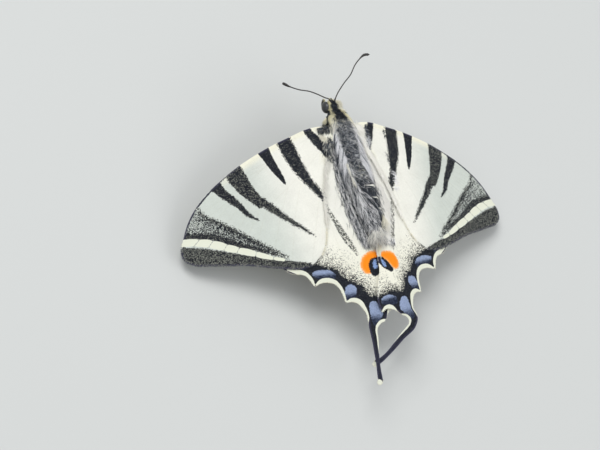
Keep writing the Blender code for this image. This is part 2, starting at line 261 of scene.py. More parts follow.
def wingPoints(side, flat, hind):
    droop, pitch = math.radians(wingSet["droop"]), math.radians(wingSet["pitch"])
    outwards = np.array((math.cos(droop), 0, -math.sin(droop)))
    backwards = np.array((0, math.cos(pitch), -math.sin(pitch)))
    backwards = unit(backwards - outwards * (backwards @ outwards))
    upwards = np.cross(outwards, backwards)
    u, v = flat[:, 0], flat[:, 1]
    dome = wingSet["arch"] * np.sin(np.pi * np.clip(u / wingSet["archEnd"], 0, 1))
    dome = dome - (wingSet["hindDrop"] if hind else 0)
    spots = np.array((wingSet["rootSide"], 0, 0)) + np.outer(u, outwards) + np.outer(v, backwards)
    spots += np.outer(dome, upwards)
    if hind:
        # The wings level out near the midline, and the right one's inner lobe lies over the left
        beside = spots[:, 0] - wingSet["rootSide"]
        levelled = 0.5 * (beside + np.sqrt(beside ** 2 + 1.4))
        spots[:, 2] += math.tan(droop) * (beside - levelled)
        spots[:, 2] -= side * 0.27 * smoothStep(-5.4, -3.1, -spots[:, 0]) * smoothStep(20.5, 24.0, v)
        lean = smoothStep(-6.5, -1.5, -spots[:, 0]) * smoothStep(8, 22, v) * smoothStep(-37, -30, -v)
        spots[:, 0] -= side * 0.5 * lean
        # tucked up under the forewing where that covers it
        covered = smoothStep(-4.5, 0.6, flat[:, 0] - np.interp(v, *wingSet["foreEdge"]))
        spots[:, 2] += wingSet["tuck"] * covered * smoothStep(0.2, 2.0, u)
    spots[:, 0] *= side
    if hind:
        back = v - wingSet["tailStart"]
        middle = wingSet["tailMiddle"] + wingSet["tailLean"] * back
        centre, heading = alongPath(leftTail if side > 0 else rightTail, back / wingSet["tailLength"])
        centre = centre + heading * np.minimum(back, 0)[:, None]
        across = unit(np.cross(heading, (0, 0, 1))) * side
        onTail = centre + across * (u - middle)[:, None]
        share = smoothStep(-1.6, 1.6, back)[:, None]
        spots = spots * (1 - share) + onTail * share
    return spots


# The margin as evenly spaced points, read from a smooth closed curve
def marginLoop(outline, corners, spacing):
    curve = bpy.data.curves.new("margin", "CURVE")
    spline = curve.splines.new("BEZIER")
    spline.bezier_points.add(len(outline) - 1)
    spline.use_cyclic_u = True
    for index, (spot, place) in enumerate(zip(spline.bezier_points, outline)):
        spot.co = (*place, 0)
        spot.handle_left_type = spot.handle_right_type = "VECTOR" if index in corners else "AUTO"
    holder = bpy.data.objects.new("margin", curve)
    bpy.context.scene.collection.objects.link(holder)
    bpy.context.view_layer.update()
    loop = []
    spots = list(spline.bezier_points)
    for spot, following in zip(spots, spots[1:] + spots[:1]):
        steps = max(2, math.ceil((following.co - spot.co).length / spacing))
        ends = (spot.co, spot.handle_right, following.handle_left, following.co)
        loop += interpolate_bezier(*ends, steps + 1)[:-1]
    bpy.data.objects.remove(holder)
    bpy.data.curves.remove(curve)
    return np.array(loop)[:, :2]


# Distance to a line of points, less the half width that each point carries as a third number
def strokeDistance(flat, stroke, smooth=True):
    stroke = np.asarray([(*spot, 0.0)[:3] for spot in stroke], float)
    if smooth and len(stroke) > 2:
        stroke = alongPath(stroke, np.linspace(0, 1, 6 * (len(stroke) - 1) + 1))[0]
    nearest = np.full(len(flat), 1e9)
    for first, second in zip(stroke, stroke[1:]):
        run = second[:2] - first[:2]
        t = np.clip((flat - first[:2]) @ run / max(run @ run, 1e-9), 0, 1)
        away = np.linalg.norm(flat - first[:2] - np.outer(t, run), axis=1)
        nearest = np.minimum(nearest, away - (first[2] + (second[2] - first[2]) * t))
    return nearest


def nearestStroke(flat, strokes):
    return np.min([strokeDistance(flat, stroke) for stroke in strokes], axis=0)


def insideLoop(flat, loop):
    inside = np.zeros(len(flat), bool)
    for (x1, y1), (x2, y2) in zip(loop, np.roll(loop, -1, axis=0)):
        crosses = (y1 > flat[:, 1]) != (y2 > flat[:, 1])
        if crosses.any():
            inside[crosses] ^= flat[crosses, 0] < (x2 - x1) * (flat[crosses, 1] - y1) / (y2 - y1) + x1
    return inside


def loopDistance(flat, loop):
    return strokeDistance(flat, np.vstack([loop, loop[:1]]), smooth=False)


def areaDistance(flat, loop):
    loop = np.asarray(loop, float)
    away = loopDistance(flat, loop)
    return np.where(insideLoop(flat, loop), -away, away)


# A flat triangle net inside the margin, with the distance of each point from it
def flatNet(outline, corners, spacing):
    loop = marginLoop(outline, corners, spacing)
    low, high = loop.min(0), loop.max(0)
    rows = np.arange(low[1], high[1], spacing * rowShare)
    columns = np.arange(low[0], high[0], spacing)
    grid = np.array([(x + row % 2 * spacing / 2, y) for row, y in enumerate(rows) for x in columns])
    grid = grid[insideLoop(grid, loop)]
    grid = grid[loopDistance(grid, loop) > wingSet["marginGap"] * spacing]
    spots = [Vector(spot) for spot in np.vstack([loop, grid])]
    found = delaunay_2d_cdt(spots, [], [list(range(len(loop)))], 1, 1e-6)
    flat, faces = np.array(found[0]), np.array(found[2])
    a, b, c = (flat[faces[:, k]] for k in range(3))
    (bu, bv), (cu, cv) = (b - a).T, (c - a).T
    turned = bu * cv - bv * cu < 0
    faces[turned] = faces[turned][:, ::-1]
    edges = np.vstack([faces[:, (0, 1)], faces[:, (1, 2)], faces[:, (2, 0)]])
    seen = set(map(tuple, edges))
    border = np.array([edge for edge in map(tuple, edges) if edge[::-1] not in seen])
    away = np.maximum(loopDistance(flat, loop), 0)
    return {"flat": flat, "faces": faces, "border": border, "edge": away, "loop": loop}


foreVeins = (
    ((0.2, -0.7), (4, -1.2), (9, -0.3), (15, 1.3), (20.5, 3.4)),
    ((0.2, -0.2), (5, 0.1), (10, 1.6), (14.5, 3.6), (18.6, 6.0), (25.5, 11.0), (31.9, 15.6), (34.9, 17.9)),
    ((12.5, 2.6), (18, 3.9), (24.5, 5.6)),
    ((15.0, 3.9), (21, 5.6), (27.5, 7.6)),
    ((18.6, 6.0), (24.5, 8.2), (31.0, 10.5)),
    ((21.5, 8.0), (27.5, 10.7), (33.6, 13.4)),
    ((18.6, 6.0), (19.3, 8.0), (18.7, 10.0), (16.6, 12.0)),
    ((19.3, 8.0), (24, 12.3), (29.2, 16.4), (32.7, 19.6)),
    ((18.8, 9.8), (22.7, 14.2), (26.7, 17.8), (29.7, 20.8)),
    ((17.6, 11.2), (21, 15.5), (24.7, 19.2), (26.3, 21.7)),
    ((0.3, 0.3), (4.5, 4.0), (9, 7.2), (13.0, 9.8), (16.6, 12.0), (19.6, 16.9), (22.4, 22.7)),
    ((11.6, 8.9), (15.2, 15.5), (18.2, 22.0), (19.0, 24.1)),
    ((8.0, 6.6), (11.6, 14.5), (14.3, 22.0), (15.2, 25.0)),
    ((0.2, 0.8), (4.6, 8.5), (8.6, 18.5), (11.2, 25.0)),
)
hindVeins = (
    ((0.6, 3.2), (5, 5.6), (10.5, 10.5), (14.5, 16.0), (17.2, 21.5)),
    ((4.5, 6.8), (8.5, 11.0), (12.0, 16.5), (15.9, 25.6)),
    ((7.9, 12.6), (9.8, 18), (11.4, 24), (12.1, 29.4)),
    ((7.7, 14.8), (8.0, 20), (7.6, 27), (6.8, 33.8)),
    ((5.6, 16.3), (5.2, 22), (3.9, 30), (2.4, 38.5), (3.2, 44), (4.6, 50.6)),
    ((4.2, 15.6), (2.6, 22), (1.0, 30), (-0.5, 38.9)),
    ((2.6, 12.5), (0.6, 20), (-1.6, 29), (-4.2, 37.3)),
    ((0.4, 4.6), (3.0, 8.0), (6.6, 11.6), (7.9, 12.6), (7.7, 14.8), (5.6, 16.3), (4.2, 15.6), (2.6, 12.5),
     (1.2, 8.6), (0.4, 4.8)),
)

# Dark marks: a stroke of (u, v, half width), how far its edge frays, how closely its scales cover
foreBands = (
    (((5.1, -2.6, 0.75), (4.3, -0.6, 0.8), (3.4, 1.0, 1.0), (2.4, 2.7, 1.05), (1.7, 4.4, 0.9),
      (1.3, 6.0, 0.45)), 0.14, 0.96),
    (((10.1, -1.6, 1.5), (9.6, 1.2, 1.5), (9.0, 4.0, 1.4), (8.2, 6.5, 1.15), (7.4, 8.6, 0.85),
      (6.4, 10.6, 0.75), (5.5, 12.6, 0.45), (5.2, 13.6, 0.15)), 0.27, 0.93),
    (((14.7, -0.6, 1.35), (13.9, 2.4, 0.98), (13.1, 5.0, 0.75), (12.3, 7.2, 0.42), (12.0, 8.2, 0.15)),
     0.07, 0.99),
    (((21.6, 2.4, 1.8), (20.8, 5.2, 1.8), (19.7, 7.8, 1.45), (18.5, 9.9, 1.1), (17.9, 11.0, 0.9)),
     0.16, 0.85),
    (((17.6, 10.4, 0.8), (16.1, 12.2, 0.82), (14.3, 14.4, 0.62), (12.4, 16.4, 0.5), (10.6, 18.3, 0.3),
      (9.2, 19.8, 0.1)), 0.26, 0.86),
    (((26.2, 3.8, 1.45), (24.9, 6.6, 1.0), (23.4, 8.6, 0.85), (21.9, 10.6, 0.6), (21.0, 12.3, 0.5),
      (20.0, 13.4, 0.3), (19.0, 14.2, 0.12)), 0.16, 0.93),
    (((30.4, 8.2, 0.35), (29.3, 10.9, 0.4), (27.2, 12.6, 0.45), (25.0, 14.5, 0.5), (22.6, 16.8, 0.5),
      (20.2, 18.9, 0.45), (17.4, 21.2, 0.3), (15.6, 22.8, 0.15)), 0.4, 0.82),
    (((35.4, 13.4, 0.5), (33.6, 14.0, 0.6), (31.0, 14.7, 0.6), (28.8, 15.3, 0.7), (26.3, 16.8, 0.7),
      (23.8, 18.4, 0.6), (20.8, 19.9, 0.5), (18.0, 21.6, 0.3), (16.0, 22.8, 0.15)), 0.3, 0.84),
    (((20.8, 2.9, 0.06), (23.8, 4.42, 0.14), (27.3, 6.6, 0.17), (30.35, 8.95, 0.19), (32.6, 11.4, 0.2),
      (34.1, 14.1, 0.2), (35.3, 17.8, 0.25)), 0.05, 0.96),
)
foreMargin = ((37, 15.7), (34.5, 16.1), (31.6, 16.9), (28.6, 18.1), (25.0, 19.7), (21.6, 21.1),
              (18.4, 22.4), (15.4, 23.5), (13.5, 24.2), (11.2, 25.1), (12, 28), (24, 26), (38, 22))
hindHaze = ((5.1, 15.0, 0.1), (4.4, 17.9, 0.5), (3.6, 20.4, 0.55), (2.8, 22.6, 0.5), (1.9, 25.0, 0.25))
foreDusk = ((31.5, 9.0), (29.2, 11.3), (27.2, 12.6), (25.0, 14.5), (22.6, 16.8), (20.2, 18.9),
            (17.0, 21.6), (18.0, 21.7), (21.0, 20.0), (24.3, 18.7), (27.0, 17.2), (29.2, 15.9),
            (31.2, 15.3), (36.5, 13.9))
foreStripe = ((35.8, 15.0, 0.72), (34.4, 15.15, 0.75), (31.4, 15.85, 0.8), (28.6, 17.0, 0.85),
              (25.6, 18.6, 0.72), (22.2, 20.3, 0.65), (19.0, 22.0, 0.45), (16.5, 23.1, 0.3))
hindBands = (
    (((5.3, 10.8, 0.5), (5.35, 12.6, 0.3), (5.35, 14.2, 0.18), (5.3, 15.6, 0.17), (4.75, 17.6, 0.19),
      (4.05, 20.1, 0.16), (3.45, 22.2, 0.15), (2.8, 23.6, 0.12), (2.1, 25.2, 0.05)), 0.2, 0.66),
    (((4.85, 16.0, 0.05), (4.2, 17.9, 0.17), (3.4, 20.2, 0.18), (2.75, 22.2, 0.15), (2.1, 24.0, 0.05)),
     0.3, 0.46),
    (((0.5, 3.4, 0.8), (0.7, 8.0, 0.75), (0.8, 14.0, 0.7), (0.2, 20.0, 0.6), (-0.5, 23.4, 0.3)), 0.7, 0.7),
)
hindMargin = ((19.5, 21.4), (17.0, 22.7), (15.3, 23.4), (13.0, 24.5), (11.0, 25.2), (8.9, 26.4),
              (7.2, 27.4), (6.4, 28.8), (5.6, 29.9), (4.4, 30.5), (3.3, 31.6), (2.8, 33.0), (1.8, 34.3),
              (0.6, 34.3), (-1.0, 33.9), (-2.8, 34.3), (-5.8, 35.6), (-6, 40), (0, 45), (2, 54), (8, 54),
              (7, 41), (10, 33), (14, 31), (19.5, 27))
crescents = (
    ((16.3, 25.1, 0.3), (14.7, 26.0, 0.5), (13.4, 26.9, 0.58), (12.5, 28.2, 0.46), (12.15, 29.4, 0.2)),
    ((11.7, 29.4, 0.2), (10.5, 28.95, 0.5), (9.1, 29.1, 0.66), (7.95, 29.75, 0.64), (7.2, 31.0, 0.52),
     (6.9, 32.5, 0.4), (6.75, 33.8, 0.16)),
    ((6.5, 34.0, 0.2), (5.35, 34.0, 0.52), (4.3, 34.7, 0.64), (3.7, 36.1, 0.5), (3.45, 37.7, 0.36),
     (3.4, 39.4, 0.12)),
    ((-0.95, 38.1, 0.1), (-1.6, 37.2, 0.36), (-2.5, 36.85, 0.52), (-3.4, 37.0, 0.46), (-4.25, 37.5, 0.2)),
    ((-0.4, 38.85, 0.12), (0.4, 39.1, 0.3), (1.2, 39.75, 0.38), (1.62, 40.8, 0.32), (1.8, 42.0, 0.26),
     (2.35, 43.9, 0.17), (2.8, 45.2, 0.05)),
    ((4.65, 50.3, 0.5), (5.1, 52.2, 0.9)),
)
# Blue cells, which darken towards the margin
lunules = (
    ((11.3, 27.3, 0.6), (10.1, 27.65, 1.0), (8.8, 27.9, 1.0), (7.8, 28.3, 0.6)),
    ((5.15, 31.9, 1.14), (5.55, 32.7, 1.16)),
    ((1.5, 36.0, 1.0), (1.3, 37.2, 1.38), (1.7, 38.4, 1.0), (2.0, 39.5, 0.35)),
    ((-3.3, 35.5, 0.75), (-2.2, 35.45, 1.08), (-1.1, 35.6, 0.85)),
    ((15.4, 24.6, 0.16), (14.2, 25.2, 0.3), (13.2, 26.0, 0.16)),
)
lunuleDepth = (0.12, 0.36, 0.4, 0.14, 0.3)  # how far down each of them the dark begins
# Each hindwing's eyespot: its orange, its black and its blue
eyespots = {
    1: (((-1.9, 26.0, 1.0), (-0.7, 26.1, 1.15), (0.3, 26.8, 1.3), (0.75, 27.7, 1.25), (0.8, 28.4, 0.95)),
        ((-1.8, 27.2, 0.95), (-0.95, 27.6, 1.25), (-0.6, 28.6, 1.2), (-0.2, 29.6, 0.55)),
        ((-1.1, 26.9, 0.24), (-0.8, 27.9, 0.46), (-0.7, 28.6, 0.18))),
    -1: (((-1.2, 26.2, 0.75), (0.2, 26.7, 1.15), (0.9, 27.4, 1.4), (1.1, 28.1, 1.15)),
         ((-2.1, 27.1, 0.75), (-1.3, 28.1, 0.9), (-0.3, 29.2, 0.62)),
         ((-1.8, 27.2, 0.2), (-1.45, 28.3, 0.3))),
}
dustGap = ((-1.6, 26.5, 0), (-0.6, 31.5, 0.6))
underLine = ((6.6, 5.8, 0.3), (6.3, 10.0, 0.34), (5.4, 15.0, 0.34), (4.2, 20.0, 0.3), (2.8, 25.0, 0.25))


def darkMarks(flat, bands, margin, marginFray, marginCover):
    distance = areaDistance(flat, margin)
    fray, cover = np.full(len(flat), marginFray), np.full(len(flat), marginCover)
    for stroke, bandFray, bandCover in bands:
        away = strokeDistance(flat, stroke)
        nearer = away < distance
        distance[nearer], fray[nearer], cover[nearer] = away[nearer], bandFray, bandCover
    return distance, fray, cover


# Everything the wing's finish reads, worked out at each point of the flat net
def wingMarkings(net, side, hind, top, vein):
    flat = net["flat"]
    u, v = flat.T
    far = np.full(len(flat), 9.0)
    if hind:
        band, fray, cover = darkMarks(flat, hindBands, hindMargin, 0.3, 0.985)
        marginAway = np.maximum(areaDistance(flat, hindMargin), 0)
        dust = 1.02 * np.exp(-marginAway / 1.25) * smoothStep(-13.5, -7.0, -u)
        dust += 0.25 * np.exp(-marginAway / 0.5)
        dust += 0.27 * smoothStep(0.25, -0.2, strokeDistance(flat, hindHaze))
        dust *= smoothStep(-0.2, 0.5, strokeDistance(flat, dustGap))
        cream = nearestStroke(flat, crescents)
        blue = np.array([strokeDistance(flat, stroke) for stroke in lunules])
        lunule, which = blue.min(0), blue.argmin(0)
        tops = np.array([min(v - half for u, v, half in stroke) for stroke in lunules])
        ends = np.array([max(v + half for u, v, half in stroke) for stroke in lunules])
        long = (ends - tops)[which]
        starts = np.array([stroke[0][0] for stroke in lunules])[which]
        depth = (v + 0.12 * u - tops[which]) / long - 0.12 * starts / long
        shade = smoothStep(0, 1, (depth - np.array(lunuleDepth)[which]) / 0.5)
        orange, spotBlack, spotBlue = (strokeDistance(flat, stroke) for stroke in eyespots[side])
        cool = 0.2 * smoothStep(9, 16, u)
        gold = 0.6 * smoothStep(15, 30, v)
    else:
        band, fray, cover = darkMarks(flat, foreBands, foreMargin, 0.16, 0.78)
        fade = 1 - 0.45 * np.exp(-((u - 31.6) ** 2 + (v - 11.8) ** 2) / 3.4)
        if side < 0:
            fade = 0.85 * fade - 0.45 * np.exp(-((u - 22.0) ** 2 + (v - 17.5) ** 2) / 6)
        dust = 0.72 * smoothStep(0.6, -0.6, areaDistance(flat, foreDusk)) * fade
        cream = strokeDistance(flat, foreStripe) + 0.13 * bell(vein, 0.5)
        band = np.minimum(band, np.maximum(vein - 0.06, cream))
        cream = np.maximum(cream, 0.08 - vein)
        lunule = orange = spotBlack = spotBlue = far
        shade = np.zeros(len(flat))
        cool = smoothStep(11, 21, u + 0.15 * v)
        gold = smoothStep(1.9, 0.3, net["edge"]) * smoothStep(5.5, 2.5, v - 0.36 * u)
        gold = np.maximum(gold * smoothStep(27, 20, u), 0.08 * smoothStep(14, 6, u))
    if not top:
        # The underside is paler and browner, with an orange line down its middle on the hindwing
        band, cover = band + 0.12, cover * 0.94
        if hind:
            line = strokeDistance(flat, underLine)
            band = np.minimum(band, np.abs(line - 0.2) - 0.13)
            orange = np.minimum(orange, line)
    return {"band": band, "fray": fray, "cover": cover, "dust": dust, "cream": cream, "lunule": lunule,
            "shade": shade, "orange": orange, "spotBlack": spotBlack, "spotBlue": spotBlue, "cool": cool,
            "gold": gold, "vein": vein, "rim": net["edge"],
            "under": np.full(len(flat), 0.0 if top else 1.0)}


def vertexNormals(points, faces):
    a, b, c = (points[faces[:, k]] for k in range(3))
    across = np.cross(b - a, c - a)
    total = np.zeros_like(points)
    for k in range(3):
        np.add.at(total, faces[:, k], across)
    return unit(total)


foreRib = ((-0.5, -0.7), (3.6, -1.75), (8.6, -0.85), (15.6, 1.05), (23.8, 4.5))


def makeWing(word, net, side, hind):
    flat, edge, count = net["flat"], net["edge"], len(net["flat"])
    vein = nearestStroke(flat, hindVeins if hind else foreVeins)
    faces, border = net["faces"][:, ::side], net["border"][:, ::side]
    middle = wingPoints(side, flat, hind)
    normals = vertexNormals(middle, faces)
    ridge = wingSet["veinHeight"] * bell(vein, wingSet["veinWidth"]) * smoothStep(0, 0.5, edge)
    billow = wingSet["billow"] * (1 - bell(vein, 0.9)) * smoothStep(0, 1.2, edge)
    half = 0.5 * (wingSet["edgeThickness"]
                  + (wingSet["thickness"] - wingSet["edgeThickness"]) * smoothStep(0, 0.9, edge))
    if not hind:
        # the inner edge turns down on to the hindwing, and the leading edge is a stout rib by the body
        inner = smoothStep(1.4, 0, flat[:, 0] - np.interp(flat[:, 1], *wingSet["foreEdge"]))
        inner = inner * smoothStep(2, 5, flat[:, 1])
        middle = middle - normals * (wingSet["edgeTurn"] * inner)[:, None]
        half += 0.1 * bell(strokeDistance(flat, foreRib), 0.24) * smoothStep(27, 4, flat[:, 0])
    over = middle + normals * (half + ridge + billow)[:, None]
    under = middle - normals * (half + 0.8 * ridge - billow)[:, None]
    rim = np.column_stack([border[:, ::-1], border + count])
    faceGroups = [np.vstack([faces, faces[:, ::-1] + count]), rim]
    marks = [wingMarkings(net, side, hind, top, vein) for top in (True, False)]
    numbers = {key: np.concatenate([mark[key] for mark in marks]) for key in marks[0]}
    place = np.column_stack([flat, np.full(count, 10.0 * side + 3.0 * hind)])
    numbers["flat"] = np.vstack([place, place + (0, 0, 70)])  # each wing's own grain
    name = f"{word}wing_{sideWords[side]}"
    mesh = meshFromArrays(f"{name}_sheet", np.vstack([over, under]), faceGroups, numbers)
    mesh.set_sharp_from_angle(angle=math.radians(wingSet["sharp"]))
    addPiece(f"{name}_sheet", mesh, wingFinish, (name,))


# A value on its way through a node tree, so that sums read as sums
class Wire:
    def __init__(self, socket):
        self.socket, self.tree = socket, socket.id_data

    def sum(self, operation, *values):
        settings = {"operation": operation}
        return Wire(addNode(self.tree, "Math", settings, dict(enumerate(values))).outputs[0])

    def __add__(self, other):
        return self.sum("ADD", self, other)

    def __sub__(self, other):
        return self.sum("SUBTRACT", self, other)

    def __rsub__(self, other):
        return self.sum("SUBTRACT", other, self)

    def __mul__(self, other):
        return self.sum("MULTIPLY", self, other)

    def __truediv__(self, other):
        return self.sum("DIVIDE", self, other)

    def __rtruediv__(self, other):
        return self.sum("DIVIDE", other, self)

    def most(self, other):
        return self.sum("MAXIMUM", self, other)

    # this value times one number, plus another
    def scaled(self, times, plus):
        return self.sum("MULTIPLY_ADD", self, times, plus)

    def clamped(self):
        self.socket.node.use_clamp = True
        return self


def feed(node, inputs):
    for key, value in inputs.items():
        if isinstance(value, Wire):
            value.tree.links.new(value.socket, node.inputs[key])
        else:
            node.inputs[key].default_value = value


def addNode(tree, kind, settings=None, inputs=None):
    node = tree.nodes.new("ShaderNode" + kind)
    for key, value in (settings or {}).items():
        setattr(node, key, value)
    feed(node, inputs or {})
    return node


def wires(node):
    return {socket.name: Wire(socket) for socket in node.outputs}


def vectorSum(operation, first, second):
    node = addNode(first.tree, "VectorMath", {"operation": operation}, {0: first, 1: second})
    return Wire(node.outputs[0])


def blend(share, first, second, kind="MIX"):
    tree = next(value.tree for value in (share, first, second) if isinstance(value, Wire))
    node = addNode(tree, "Mix", {"data_type": "RGBA", "blend_type": kind}, {0: share, 6: first, 7: second})
    return Wire(node.outputs[2])


def noise(place, scale, detail):
    node = addNode(place.tree, "TexNoise", None, {"Vector": place, "Scale": scale, "Detail": detail})
    return Wire(node.outputs[0])


def rgb(red, green, blue):
    return (red, green, blue, 1.0)


# A named number or place that the meshes carry
def readNumber(tree, name, kind="Fac"):
    return Wire(addNode(tree, "Attribute", {"attribute_name": name}).outputs[kind])


def objectPlace(tree):
    return Wire(addNode(tree, "TexCoord").outputs["Object"])


# An effect as a node group. Its recipe turns the inputs' wires into one wire for each output.
# An input without a number takes a place.
def newGroup(name, inputs, outputs, recipe):
    group = bpy.data.node_groups.new(name, "ShaderNodeTree")
    for label, start in inputs.items():
        kind = "Vector" if start is None else "Float"
        socket = group.interface.new_socket(label, in_out="INPUT", socket_type="NodeSocket" + kind)
        if start is not None:
            socket.default_value = start
    for label, kind in outputs.items():
        group.interface.new_socket(label, in_out="OUTPUT", socket_type="NodeSocket" + kind)
    given = wires(group.nodes.new("NodeGroupInput"))
    given.pop("", None)
    feed(group.nodes.new("NodeGroupOutput"), dict(zip(outputs, recipe(given))))
    return group


def placeGroup(tree, group, **inputs):
    node = tree.nodes.new("ShaderNodeGroup")
    node.node_tree = group
    feed(node, inputs)
    return wires(node)


# Overlapping scales: each has its own grey values and tilts up towards its free end
def scaleRecipe(given):
    tree = given["Place"].tree
    shrink = 1.0 / given["Size"]
    stretch = addNode(tree, "CombineXYZ", None, {0: shrink / given["Length"], 1: shrink, 2: shrink})
    spot = vectorSum("MULTIPLY", given["Place"], Wire(stretch.outputs[0]))
    cells = wires(addNode(tree, "TexVoronoi", {"feature": "F1", "voronoi_dimensions": "3D"},
                          {"Vector": spot, "Scale": 1.0, "Randomness": 0.8}))
    tone = addNode(tree, "SeparateColor", None, {0: cells["Color"]}).outputs
    offset = addNode(tree, "SeparateXYZ", None, {0: vectorSum("SUBTRACT", spot, cells["Position"])})
    bulge = (cells["Distance"] * cells["Distance"]).scaled(-0.9, 0.5)
    tilt = Wire(offset.outputs[0]).scaled(0.8, bulge)
    return Wire(tone[0]), Wire(tone[1]), Wire(tone[2]).scaled(0.35, tilt)


# A mark's coverage from its signed distance, frayed by slow wobble and by whole scales
def frayRecipe(given):
    wander = (given["Wobble"] - 0.5) * given["Wander"]
    fray = (given["Grain"] - 0.5) * given["Fray"]
    return [(0.5 - (given["Distance"] + wander + fray * 2.0) / given["Softness"]).clamped()]


# Slow mottling and fine grain for cuticle and hair
def mottleRecipe(given):
    return noise(given["Place"], given["Scale"], 3.0), noise(given["Place"], given["Scale"] * 9.0, 2.0)


hairColours = {"dark": rgb(0.010, 0.011, 0.014), "slate": rgb(0.15, 0.17, 0.20),
               "lilac": rgb(0.93, 0.93, 0.96), "yellow": rgb(0.89, 0.82, 0.51)}


# Coat colour from the two numbers that skin and hair share: shade (0 black, 1 pale) and warm
def coatRecipe(given):
    c = hairColours
    pale = blend((given["Warm"] * 1.0).clamped(), c["lilac"], c["yellow"])
    low, high = (given["Shade"] * 2.4).clamped(), given["Shade"].scaled(1.9, -0.75).clamped()
    return [blend(high, blend(low, c["dark"], c["slate"]), pale)]


scaleCells = newGroup("scale cells", {"Place": None, "Size": 0.12, "Length": 1.6},
                      {"Grain": "Float", "Second": "Float", "Height": "Float"}, scaleRecipe)
frayedEdge = newGroup("frayed edge", {"Distance": 1.0, "Fray": 0.1, "Wander": 0.1, "Wobble": 0.5,
                                      "Grain": 0.5, "Softness": 0.05}, {"Mask": "Float"}, frayRecipe)
mottle = newGroup("mottle", {"Place": None, "Scale": 400.0}, {"Slow": "Float", "Fine": "Float"},
                  mottleRecipe)
coatColour = newGroup("coat colour", {"Shade": 0.5, "Warm": 0.0}, {"Colour": "Color"}, coatRecipe)


def newMaterial(name):
    material = bpy.data.materials.new(name)
    material.use_nodes = True
    tree = material.node_tree
    return material, tree, tree.nodes["Principled BSDF"]


# Colour, roughness, raised detail and shine of one finish. How deep the detail is comes in metres.
def dress(shader, colour, roughness, height, strength, depth, shine):
    bump = addNode(colour.tree, "Bump", None, {"Strength": strength, "Distance": depth, "Height": height})
    feed(shader, {"Base Color": colour, "Roughness": roughness, "Normal": Wire(bump.outputs[0]),
                  "Specular IOR Level": shine})


wingColours = {
    "warmGround": rgb(0.80, 0.79, 0.715), "coolGround": rgb(0.58, 0.615, 0.56),
    "goldGround": rgb(0.82, 0.80, 0.65), "underGround": rgb(0.78, 0.75, 0.60), "vein": rgb(0.42, 0.38, 0.26),
    "ink": rgb(0.006, 0.007, 0.011), "inkPale": rgb(0.03, 0.034, 0.042), "rim": rgb(0.055, 0.052, 0.095),
    "cream": rgb(0.71, 0.72, 0.595), "dusk": rgb(0.19, 0.195, 0.165),
    "bluePale": rgb(0.27, 0.33, 0.48), "blueDeep": rgb(0.014, 0.019, 0.038),
    "orange": rgb(0.89, 0.25, 0.012), "orangePale": rgb(0.88, 0.45, 0.17), "spotBlue": rgb(0.22, 0.32, 0.56),
}


def wingMaterial():
    material, tree, shader = newMaterial("wing scales")
    c = wingColours
    place = readNumber(tree, "flat", "Vector")
    coarse = placeGroup(tree, scaleCells, Place=place, Size=0.135, Length=1.25)
    fine = placeGroup(tree, scaleCells, Place=place, Size=0.085, Length=1.7)
    wobble, cloud = noise(place, 1.7, 3.0), noise(place, 0.35, 2.0)
    grain, second, third = coarse["Grain"], coarse["Second"], fine["Second"]
    (band, fray, cover, dust, cream, lunule, shade, orange, spotBlack, spotBlue, cool, gold, vein, rim,
     under) = (readNumber(tree, key) for key in
               ("band", "fray", "cover", "dust", "cream", "lunule", "shade", "orange", "spotBlack",
                "spotBlue", "cool", "gold", "vein", "rim", "under"))

    def mask(distance, fray, wander):
        return placeGroup(tree, frayedEdge, Distance=distance, Fray=fray, Wander=wander, Wobble=wobble,
                          Grain=grain)["Mask"]

    # Ground: warm by the body, cooler outwards, golden along the leading edge, thinly scaled veins
    ground = blend(gold, blend(cool, c["warmGround"], c["coolGround"]), c["goldGround"])
    ground = blend(under * 0.6, ground, c["underGround"])
    ground = blend((1.0 - vein / 0.12).clamped() * 0.16, ground, c["vein"])
    tone = fine["Grain"] * 0.10 + cloud.scaled(0.14, 0.84)
    tone = Wire(addNode(tree, "CombineColor", None, {0: tone, 1: tone, 2: tone}).outputs[0])
    ground = blend(1.0, ground, tone, "MULTIPLY")
    # Dark scales: solid in the bands, scattered where the wing is dusted
    banded = mask(band, fray, 0.22)
    covered = (cover - (second - 0.06).most(third)).scaled(9.0, 0.6).clamped()
    dusted = (dust * 0.5 - second).most(dust * 0.8 - third).scaled(9.0, 0.5).clamped()
    dusted = dusted * dust.sum("GREATER_THAN", dust, 0.02)
    ink = (banded * covered).most(dusted)
    inkTone = blend(third * third, c["ink"], c["inkPale"])
    inkTone = blend((1.0 - rim / 0.5).clamped() * 0.7, inkTone, c["rim"])
    colour = blend(ink, blend(banded, ground, c["dusk"]), inkTone)
    # Blue cells, darker towards the margin and pricked with dark scales
    blueTone = blend(grain.scaled(0.45, shade - 0.16).clamped(), c["bluePale"], c["blueDeep"])
    colour = blend(mask(lunule, 0.09, 0.05), colour, blueTone)
    # The eyespots: orange with a paler halo, black and blue, then the cream of the margins
    orangeTone = blend(orange.scaled(0.9, grain.scaled(0.25, 0.36)).clamped(), c["orange"], c["orangePale"])
    colour = blend(mask(orange - 0.16, 0.1, 0.05) * 0.5, colour, c["orangePale"])
    for distance, fray, wander, tone in (
            (orange, 0.13, 0.12, orangeTone), (spotBlack, 0.1, 0.12, inkTone),
            (spotBlue, 0.22, 0.12, c["spotBlue"]), (cream, 0.03, 0.03, c["cream"])):
        colour = blend(mask(distance, fray, wander), colour, tone)
    rough = ink.scaled(-0.16, fine["Grain"].scaled(0.12, 0.66))
    dress(shader, colour, rough, coarse["Height"].scaled(0.35, fine["Height"]), 0.55, 0.00003, 0.09)
    return material


